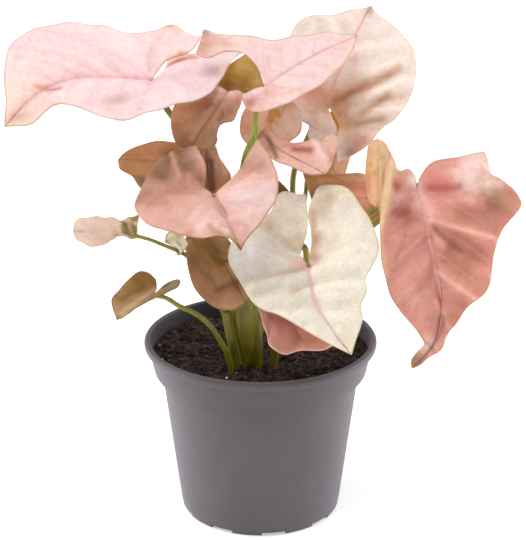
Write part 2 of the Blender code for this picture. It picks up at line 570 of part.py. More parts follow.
def make_soil():
    """Potting mix with an uneven top, a gap inside the pot, and a plain hole for each shoot."""
    sides = POT_SIDES
    outer = inner_wall(GAP)
    rng = random.Random(7)
    vertices = [(0.0, 0.0, outer[0][1])]
    for radius, height in outer:
        for k in range(sides):
            angle = 2 * math.pi * k / sides
            vertices.append((radius * math.cos(angle), radius * math.sin(angle), height))
    for radius in SOIL_RINGS:
        for k in range(sides):
            angle = 2 * math.pi * (k + rng.uniform(-0.25, 0.25)) / sides
            height = SOIL_LEVEL + rng.uniform(-SOIL_ROUGHNESS, SOIL_ROUGHNESS)
            vertices.append((radius * math.cos(angle), radius * math.sin(angle), height))
    vertices.append((0.0, 0.0, SOIL_LEVEL))
    faces = []
    rings = len(outer) + len(SOIL_RINGS)
    for k in range(sides):
        after = (k + 1) % sides
        faces.append((0, 1 + after, 1 + k))
        for ring in range(rings - 1):
            low = 1 + ring * sides
            high = low + sides
            faces.append((low + k, low + after, high + after))
            faces.append((low + k, high + after, high + k))
        top = 1 + (rings - 1) * sides
        faces.append((len(vertices) - 1, top + k, top + after))
    soil = add_object("soil", vertices, faces, COLORS["soil"], 0.95)
    holes = []
    for shoot in [path for paths in CUTTINGS.values() for path in paths]:
        x, y, foot, radius = shoot[0]
        widest = max(radius, shoot[1][3])
        holes.append(cylinder("hole", (x, y), widest + 2 * GAP, foot - 1.0, SOIL_LEVEL + 5.0, 12))
    join_by_boolean(soil, holes, "DIFFERENCE")
    return soil


def tube(name, points, radii, sides):
    """A closed tube along the points, with a flat cap at each end."""
    points = np.asarray(points, float)
    vertices = []
    side = None
    for k, point in enumerate(points):
        ahead = points[min(k + 1, len(points) - 1)] - points[max(k - 1, 0)]
        direction = unit(ahead)
        if side is None:
            side = np.cross(direction, (0.0, 1.0, 0.0))
        side = unit(side - (side @ direction) * direction)
        other = np.cross(direction, side)
        for turn in range(sides):
            angle = 2 * math.pi * turn / sides
            vertices.append(point + radii[k] * (math.cos(angle) * side + math.sin(angle) * other))
    faces = [tuple(range(sides))[::-1]]
    for k in range(len(points) - 1):
        low = k * sides
        for turn in range(sides):
            after = (turn + 1) % sides
            faces.append((low + turn, low + after, low + sides + after, low + sides + turn))
    faces.append(tuple(range((len(points) - 1) * sides, len(points) * sides)))
    return add_object(name, vertices, faces, COLORS["stem"])


def stalk_path(leaf):
    """From just under the blade's junction down to the crown, in few rounded steps."""
    blade = Blade(leaf)
    foot_radius, top_radius, points = leaf["stalk"]
    clear = BLADE_THICKNESS / 2 + GAP + top_radius * 0.8
    top = blade.junction - blade.up * clear
    path = smooth_path([tuple(top)] + points)
    steps = max(4, int(round(path_length(path) / STALK_SPACING)))
    path = spaced(path, steps)[::-1]
    return path, np.linspace(foot_radius, top_radius, len(path))


def make_stems(name, shoots):
    """One cutting: its shoots and the stalks of its leaves, joined into one body."""
    tubes = []
    for path in shoots:
        rounded = smooth_path([p[:3] for p in path[1:]], 3)
        radii = smooth_path([(p[2], 0.0, p[3]) for p in path[1:]], 3)[:, 2]
        points = np.vstack([path[0][:3], rounded])
        tubes.append(tube("shoot", points, [path[0][3], *radii], 8))
    for leaf in LEAVES.values():
        if leaf["stems"] == name:
            path, radii = stalk_path(leaf)
            tubes.append(tube("stalk", path, radii, STALK_SIDES))
    stems = tubes.pop(0)
    stems.name = name
    stems.data.name = name
    join_by_boolean(stems, tubes, "UNION")
    smooth_shading(stems, 50.0)
    return stems


def main():
    clear_scene()
    make_pot()
    make_soil()
    for name, shoots in CUTTINGS.items():
        make_stems(name, shoots)
    for name, leaf in LEAVES.items():
        make_blade(name, leaf)


main()
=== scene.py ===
"""Potted syngonium: the looks of the plant and its grey nursery pot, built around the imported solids.

Lengths are in millimetres and the pieces are built in metres. Z is up and the camera side is -Y.
The leaf and stem values are those of the solids, so each fine piece lies where its node is.
"""
import math
import random

import bmesh
import bpy
import numpy as np
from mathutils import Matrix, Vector, noise
from mathutils.kdtree import KDTree


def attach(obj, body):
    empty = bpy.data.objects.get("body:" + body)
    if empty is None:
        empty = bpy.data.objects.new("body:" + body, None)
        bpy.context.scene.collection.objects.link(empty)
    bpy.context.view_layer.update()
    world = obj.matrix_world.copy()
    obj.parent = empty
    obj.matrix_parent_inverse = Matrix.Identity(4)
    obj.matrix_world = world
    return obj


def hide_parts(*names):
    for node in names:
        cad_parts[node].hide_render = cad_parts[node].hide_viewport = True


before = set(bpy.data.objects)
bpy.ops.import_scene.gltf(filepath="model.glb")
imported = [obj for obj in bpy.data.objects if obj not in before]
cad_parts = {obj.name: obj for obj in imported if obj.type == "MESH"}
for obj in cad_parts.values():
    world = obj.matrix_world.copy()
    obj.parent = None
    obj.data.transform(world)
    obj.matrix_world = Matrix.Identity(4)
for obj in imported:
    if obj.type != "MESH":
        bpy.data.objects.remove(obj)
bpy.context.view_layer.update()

MM = 0.001

# The image, and the camera that the photograph was fitted with.
IMAGE_WIDTH = 526
IMAGE_HEIGHT = 540
FOCAL_PIXELS = 1965.0
CAMERA_DISTANCE = 1000.0
CAMERA_TARGET = (1.3, 0.0, 130.7)
CAMERA_PITCH = 20.9
SENSOR_WIDTH = 36.0

# The pot, as in the solids.
RIM_DIAMETER = 120.0
POT_HEIGHT = 94.0
BASE_DIAMETER = 82.0
COLLAR_HEIGHT = 17.6
WALL = 1.4
SOIL_LEVEL = 86.0
LIP_WIDTH = 3.2
LIP_DROP = 4.0
COLLAR_TOP_IN = 2.6
COLLAR_LOW_IN = 5.2
BODY_TOP_IN = 9.2
FLOOR_THICKNESS = 2.4
PAD_RADIUS = 13.0
FOOT_WIDTH = 6.0
FOOT_HEIGHT = 2.0
NOTCHES = 9
NOTCH_ANGLE = 18.0
FIRST_NOTCH = 10.0
DRAIN_HOLES = 8
DRAIN_RADIUS = 3.0
DRAIN_CIRCLE = 24.0
POT_SIDES = 144

# How finely the leaves and stems are divided, and how thick a blade is.
BLADE_THICKNESS = 0.8
GAP = 0.3
BLADE_CELL = 0.7
LEAF_THICKNESS = 0.5
STALK_SIDES = 12
STALK_SPACING = 2.0


# Sheathed shoots that stand in the soil, as (x, y, z, radius) from the foot up. Each cutting is a node
# of its own; the main one has a side shoot that grows out of it.
CUTTINGS = {
    "stems_main": [
        [(-7, -22, 78, 3.0), (-7, -22, 89, 3.2), (-6.5, -22, 99, 5.4), (-7, -22, 108, 6.3),
         (-7.5, -22, 118, 6.8), (-8, -22, 128, 4.5)],
        [(-1, -24.5, 78, 1.8), (-1, -24.5, 90, 2.0), (-1, -23, 102, 2.5), (-2, -20, 114, 2.0)],
    ],
    "stems_left": [[(-12, -25.3, 78, 1.6), (-12, -25.3, 89, 1.7), (-14.9, -25.7, 104, 2.2),
                    (-17.2, -24.7, 118, 2.4)]],
    "stems_front": [[(-14.7, -28.4, 78, 1.4), (-14.7, -28.4, 89, 1.4), (-17.4, -29.4, 100, 1.6)]],
    "stems_right": [[(6.5, -22.5, 78, 1.9), (6.5, -22.5, 90, 2.1), (9, -21, 100, 2.5),
                     (13, -19, 108, 2.0)]],
}

# Each leaf: its tint, where the stalk meets the blade, where the tip is, the way the upper face looks,
# how far each half is folded up (degrees), the rise of the midrib, and the outline of each half as
# (along the midrib from the junction, across it). "margin" runs from the tip towards the junction,
# "lobe" from there to the end of the back lobe, and "notch" back to the junction.
LEAVES = {
    "leaf_far_left": dict(
        tint="pink", stems="stems_main", junction=(-53, -2, 231), tip=(-121, -42, 219), face=(0, -5, 8.7),
        fold=(13, 13), rise=5, belly=2, midrib=[(56, -11), (37, -12), (15, -5)],
        left=dict(margin=[(70, 7), (52, 1), (45, 11), (35, 30), (18, 30)],
                  lobe=[(-4, 26), (-15, 25), (-32, 13), (-49, -3), (-60, -8)],
                  notch=[(-45, -13), (-34, -17), (-25, -20), (-19, -17), (-14, -11)]),
        right=dict(margin=[(74, 11), (65, 31), (55, 41), (33, 43), (13, 38)],
                   lobe=[(-8, 29), (-27, 30), (-34, 23), (-39, 19)],
                   notch=[(-28, 12), (-14, 10), (-5, 4)]),
        stalk=(2.0, 1.6, [(-47, 0, 217), (-43, 0, 211), (-34, 6, 188), (-25, -6, 158), (-14, -20, 122)])),
    "leaf_top_centre": dict(
        tint="pink", stems="stems_main", junction=(2, -8, 229), tip=(49, 30, 245), face=(0.5, -5.5, 8.3),
        fold=(8, 8), rise=4, belly=1, midrib=[],
        left=dict(margin=[(51, 7), (34, 13), (20, 19)],
                  lobe=[(12, 27), (6, 33), (0, 38), (-3, 44), (-7, 41), (-15, 35)],
                  notch=[(-12, 30), (-2, 27), (4, 20), (4, 10)]),
        right=dict(margin=[(44, 12), (24, 18), (9, 18)],
                   lobe=[(-3, 15), (-11, 12), (-15, 5), (-11, -4)],
                   notch=[(-5, -3)]),
        stalk=(2.0, 1.5, [(-2, -14, 218), (-3, -16, 207), (-7, -18, 198), (-10, -21, 175),
                          (-9, -22, 124)])),
    "leaf_top_back": dict(
        tint="cream", stems="stems_main", junction=(34, 26, 210), tip=(57, 58, 254), face=(1, -7.5, 6.5),
        fold=(6, 6), rise=4, belly=1, midrib=[(44, 1), (28, 1), (13, 1)],
        left=dict(margin=[(47, 13), (34, 30), (21, 31), (8, 28)],
                  lobe=[(-2, 25), (-10, 19), (-13, 11), (-13, 5), (-18, 3), (-22, -4)],
                  notch=[(-17, -9), (-9, -9), (-4, -4)]),
        right=dict(margin=[(54, 8), (50, 20), (39, 32), (22, 37)],
                   lobe=[(7, 35), (-2, 30), (-13, 26), (-20, 21), (-25, 16)],
                   notch=[(-19, 13), (-12, 10), (-8, 10), (-4, 6)]),
        stalk=(1.8, 1.5, [(29, 30, 202), (23, 24, 191), (17, 15, 178), (16, 5, 164),
                          (12, -8, 139), (0, -20, 106)])),
    "leaf_under_back": dict(
        tint="olive", stems="stems_main", junction=(32, 32, 190), tip=(40, 24, 167), face=(1, -9, 4),
        fold=(5, 5), rise=1, belly=0.5, midrib=[],
        left=dict(margin=[(23, 3), (18, 7), (12, 11)], lobe=[(6, 14), (-4, 14), (-12, 11), (-12, 5)],
                  notch=[(-6, 3)]),
        right=dict(margin=[(22, 4), (13, 6)], lobe=[(5, 8), (0, 5)], notch=[(-2, 3)]),
        stalk=(1.6, 1.2, [(29, 36, 184), (25, 34, 176), (23, 22, 163), (17, 4, 144), (0, -19, 107)])),
    "leaf_centre_pale": dict(
        tint="pink", stems="stems_main", junction=(5, 14, 215), tip=(5, 4, 193), face=(0, -9, 4.2),
        fold=(10, 10), rise=3, belly=1, midrib=[],
        left=dict(margin=[(22, 5), (20, 10), (16, 15)], lobe=[(10, 16), (3, 14), (-3, 8)], notch=[(-2, 3)]),
        right=dict(margin=[(24, 6), (22, 11), (17, 15)], lobe=[(9, 15), (2, 12), (-3, 7)], notch=[(-2, 3)]),
        stalk=(1.6, 1.2, [(4, 18, 203), (2, 8, 187), (1, -6, 160), (-4, -18, 121)])),
    "leaf_centre_band": dict(
        tint="pink", stems="stems_main", junction=(1, -4, 206), tip=(32, -22, 189), face=(2, -8, 5.5),
        fold=(12, 5), rise=3, belly=1, midrib=[(32, -2), (22, -4), (12, -4)],
        left=dict(margin=[(39, 7), (32, 18), (25, 9), (18, 3), (11, 1), (5, 2)], lobe=[(0, 4)], notch=[]),
        right=dict(margin=[(34, 6), (24, 9), (16, 11), (6, 8)], lobe=[(0, 4)], notch=[]),
        stalk=(1.4, 1.1, [(-1, -8, 203), (-1, -12, 188), (-4, -17, 158), (-6, -21, 120)])),
    "leaf_back_olive": dict(
        tint="olive", stems="stems_main", junction=(2, 20, 220), tip=(-5, 36, 236), face=(0, -8, 6),
        fold=(0, 0), rise=1, belly=0.5, midrib=[],
        left=dict(margin=[(19, 12), (14, 21)], lobe=[(6, 24), (1, 20)], notch=[(1, 9)]),
        right=dict(margin=[(16, 3), (8, 4)], lobe=[(2, 4)], notch=[]),
        stalk=(1.2, 1.0, [(0, 32, 212), (0, 30, 203), (0, 14, 187), (-3, -6, 159), (-7, -18, 121)])),
    "leaf_dark_olive": dict(
        tint="olive", stems="stems_main", junction=(8, -8, 170), tip=(8, -4, 181), face=(0, -9, 4),
        fold=(3, 3), rise=0, belly=0.3, midrib=[],
        left=dict(margin=[(8, 3), (3, 5)], lobe=[(-2, 6), (-5, 4)], notch=[(-2, 2)]),
        right=dict(margin=[(8, 4), (4, 7)], lobe=[(-2, 8), (-5, 5)], notch=[(-2, 2)]),
        stalk=(1.2, 0.9, [(6, -10, 159), (-1, -18, 124), (-5, -21, 114)])),
    "leaf_front_left": dict(
        tint="pink", stems="stems_main", junction=(-22, -52, 189), tip=(-9, -78, 170), face=(-1, -7, 7),
        fold=(9, 9), rise=4, belly=2, midrib=[],
        left=dict(margin=[(32, 4), (28, 14), (21, 25)],
                  lobe=[(12, 30), (-4, 32), (-19, 31)],
                  notch=[(-14, 24), (-7, 16), (-2, 5)]),
        right=dict(margin=[(29, 2), (25, 7), (23, 16), (15, 27), (6, 35)],
                   lobe=[(-10, 37), (-19, 30), (-31, 19), (-34, 6), (-33, -3)],
                   notch=[(-20, -3), (-7, 2)]),
        stalk=(1.8, 1.4, [(-23, -37, 177), (-23, -19, 166), (-19, -15, 147), (-12, -22, 118)])),
    "leaf_brown_upper": dict(
        tint="brown", stems="stems_main", junction=(-16, 4, 223), tip=(-34, -18, 201), face=(-0.5, -8.5, 5),
        fold=(8, 8), rise=3, belly=1.5, midrib=[],
        left=dict(margin=[(34, 6), (30, 10), (25, 8), (18, 7)],
                  lobe=[(14, 11), (8, 10), (2, 9), (-4, 6)],
                  notch=[(-4, 3)]),
        right=dict(margin=[(38, 6), (33, 13), (26, 17)], lobe=[(17, 18), (8, 16), (1, 11)], notch=[(0, 5)]),
        stalk=(1.6, 1.2, [(-24, 5, 208), (-28, 0, 195), (-27, -8, 176), (-14, -19, 124)])),
    "leaf_brown_lower": dict(
        tint="brown", stems="stems_main", junction=(-28, -8, 202), tip=(-23, -28, 179), face=(1, -8.5, 5),
        fold=(6, 6), rise=2, belly=1, midrib=[],
        left=dict(margin=[(23, 10), (12, 6)], lobe=[(4, 5), (-2, 4)], notch=[(-2, 2)]),
        right=dict(margin=[(27, 4), (16, 6)], lobe=[(5, 8), (-3, 5)], notch=[(-3, 2)]),
        stalk=(1.4, 1.1, [(-26, -5, 191), (-25, -12, 172), (-13, -20, 122)])),
    "leaf_left_olive": dict(
        tint="olive", stems="stems_main", junction=(-37, -9, 189), tip=(-69, -27, 198), face=(-1, -7, 7),
        fold=(8, 8), rise=2, belly=1, midrib=[],
        left=dict(margin=[(38, 6), (33, 10)], lobe=[(30, 18), (20, 19), (5, 12)], notch=[(1, 5)]),
        right=dict(margin=[(35, 3), (28, 7), (15, 11)], lobe=[(4, 12), (-6, 12)], notch=[(-4, 5)]),
        stalk=(1.4, 1.1, [(-35, -13, 178), (-25, -15, 154), (-13, -22, 120)])),
    "leaf_small_left": dict(
        tint="cream", stems="stems_left", junction=(-60, -30, 161), tip=(-90, -46, 168), face=(-1, -6, 8),
        fold=(10, 10), rise=1, belly=0.5, midrib=[],
        left=dict(margin=[(35, 3), (33, 8), (26, 11), (19, 8), (12, 3), (6, 4)], lobe=[(0, 3)], notch=[]),
        right=dict(margin=[(34, 2), (32, 6), (24, 8), (13, 8)], lobe=[(5, 8), (0, 10), (-4, 12)],
                   notch=[(-1, 5)]),
        stalk=(1.3, 1.0, [(-54, -30, 158), (-47, -30, 155), (-36, -29, 149), (-25, -27, 132),
                          (-16.4, -25, 112)])),
    "leaf_bract": dict(
        tint="olive", stems="stems_left", junction=(-37, -38, 155), tip=(-46, -45, 162), face=(-1, -8, 5),
        fold=(4, 4), rise=0, belly=0.3, midrib=[(11, -3), (6, -3)],
        left=dict(margin=[(12, 0), (8, 0)], lobe=[(5, 0), (2, 2)], notch=[]),
        right=dict(margin=[(14, 4), (11, 7)], lobe=[(5, 7), (-1, 4)], notch=[]),
        stalk=(1.0, 0.8, [(-40, -34, 152), (-40, -29, 151)])),
    "leaf_low_left": dict(
        tint="olive", stems="stems_front", junction=(-52, -36, 132), tip=(-70, -50, 124), face=(-2, -6, 8),
        fold=(30, 10), rise=1, belly=0.5, midrib=[],
        left=dict(margin=[(22, 3), (7, 4)], lobe=[(0, 7), (-5, 7), (-10, 7), (-14, 4)],
                  notch=[(-15, 0), (-12, -3), (-7, -3)]),
        right=dict(margin=[(19, 10), (12, 12), (4, 14)], lobe=[(-3, 15), (-6, 12), (-6, 6)],
                   notch=[(-3, 2)]),
        stalk=(1.6, 1.2, [(-47, -36, 130), (-40, -35, 125), (-32, -33, 120), (-25, -31, 113),
                          (-16.8, -29.2, 98)])),
    "leaf_brown_front": dict(
        tint="brown", stems="stems_left", junction=(-26, -28, 159), tip=(-7, -45, 131), face=(0, -8, 6),
        fold=(7, 7), rise=3, belly=1.5, midrib=[],
        left=dict(margin=[(35, 5), (27, 8)], lobe=[(16, 9), (6, 8)], notch=[(1, 5)]),
        right=dict(margin=[(38, 8), (33, 15), (21, 19)],
                   lobe=[(8, 16), (-4, 10), (-8, 3)],
                   notch=[(-4, 1)]),
        stalk=(1.6, 1.2, [(-25, -25, 146), (-17.4, -24.7, 117)])),
    "leaf_front_cream": dict(
        tint="cream", stems="stems_main", junction=(23, -48, 152), tip=(43, -84, 120),
        face=(-0.5, -7.5, 6.5), fold=(7, 7), rise=4, belly=2, midrib=[(41, -3), (25, -5), (15, -4)],
        left=dict(margin=[(40, 11), (33, 14), (28, 19), (22, 21), (17, 27)],
                  lobe=[(11, 33), (1, 36), (-19, 36), (-33, 32), (-37, 23), (-33, 16)],
                  notch=[(-26, 11), (-18, 9), (-10, 6), (-4, 2)]),
        right=dict(margin=[(46, 6), (36, 14), (22, 24), (13, 32), (-3, 34)],
                   lobe=[(-20, 34), (-31, 23), (-35, 7), (-44, -4), (-39, -15)],
                   notch=[(-27, -11), (-20, -8), (-15, -5), (-9, 0), (-5, 1)]),
        stalk=(2.0, 1.6, [(22.5, -41, 150), (22, -32, 154), (20, -26, 153), (17, -20, 144), (12, -16, 127),
                          (-1, -21, 104)])),
    "leaf_rose_under": dict(
        tint="rose", stems="stems_right", junction=(14, -35, 125), tip=(37, -59, 115), face=(0.5, -7, 7),
        fold=(5, 5), rise=2, belly=1, midrib=[],
        left=dict(margin=[(29, 6), (21, 11)], lobe=[(8, 13), (-4, 13)], notch=[(-2, 7)]),
        right=dict(margin=[(33, 8), (25, 17), (22, 23)],
                   lobe=[(13, 24), (6, 20), (-11, 11)],
                   notch=[(-8, 3)]),
        stalk=(1.5, 1.2, [(12, -28, 112), (9, -21, 99)])),
    "leaf_back_right": dict(
        tint="brown", stems="stems_right", junction=(58, 8, 166), tip=(26, 4, 166), face=(1, -7.5, 6.5),
        fold=(4, 4), rise=2, belly=1, midrib=[],
        left=dict(margin=[(30, 9), (20, 15)], lobe=[(5, 14), (-5, 13)], notch=[(-3, 7)]),
        right=dict(margin=[(34, 9), (35, 17)], lobe=[(22, 14), (4, 13), (-10, 9)], notch=[(-5, 3)]),
        stalk=(1.6, 1.2, [(52, 8, 161), (38, -2, 148), (20, -12, 119), (12, -19, 103)])),
    "leaf_right_peach": dict(
        tint="salmon", stems="stems_right", junction=(58, -14, 169), tip=(58, -2, 201), face=(-2.5, -8, 3),
        fold=(-8, -8), rise=-2, belly=-1, midrib=[],
        left=dict(margin=[(33, 4), (28, 6), (18, 7)], lobe=[(8, 6), (2, 4)], notch=[]),
        right=dict(margin=[(33, 3), (28, 6), (20, 9)], lobe=[(10, 9), (1, 4)], notch=[]),
        stalk=(1.5, 1.2, [(55, -8, 164), (44, -10, 152), (22, -16, 121), (12, -20, 102)])),
    "leaf_right_salmon": dict(
        tint="salmon", stems="stems_right", junction=(76, -30, 186), tip=(73, -66, 105), face=(1.5, -8, 6),
        fold=(12, 8), rise=9, belly=2, midrib=[(76, 10), (64, 12), (53, 11), (36, 7), (15, 3)],
        left=dict(margin=[(87, 4), (83, 8), (79, 13), (72, 16), (59, 24), (50, 33)],
                  lobe=[(32, 36), (21, 40), (7, 50), (-1, 44), (-8, 36), (-18, 33)],
                  notch=[(-15, 21), (-12, 8), (-5, 2)]),
        right=dict(margin=[(85, 1), (80, -2), (78, -6), (71, -1), (61, 9), (52, 15)],
                   lobe=[(37, 19), (26, 20), (8, 19), (-6, 16), (-16, 14)],
                   notch=[(-7, 9), (-8, 4), (-5, 1)]),
        stalk=(2.1, 1.7, [(68, -22, 174), (58, -19, 164), (40, -16, 146), (20, -16, 114), (11, -20, 100)])),
}

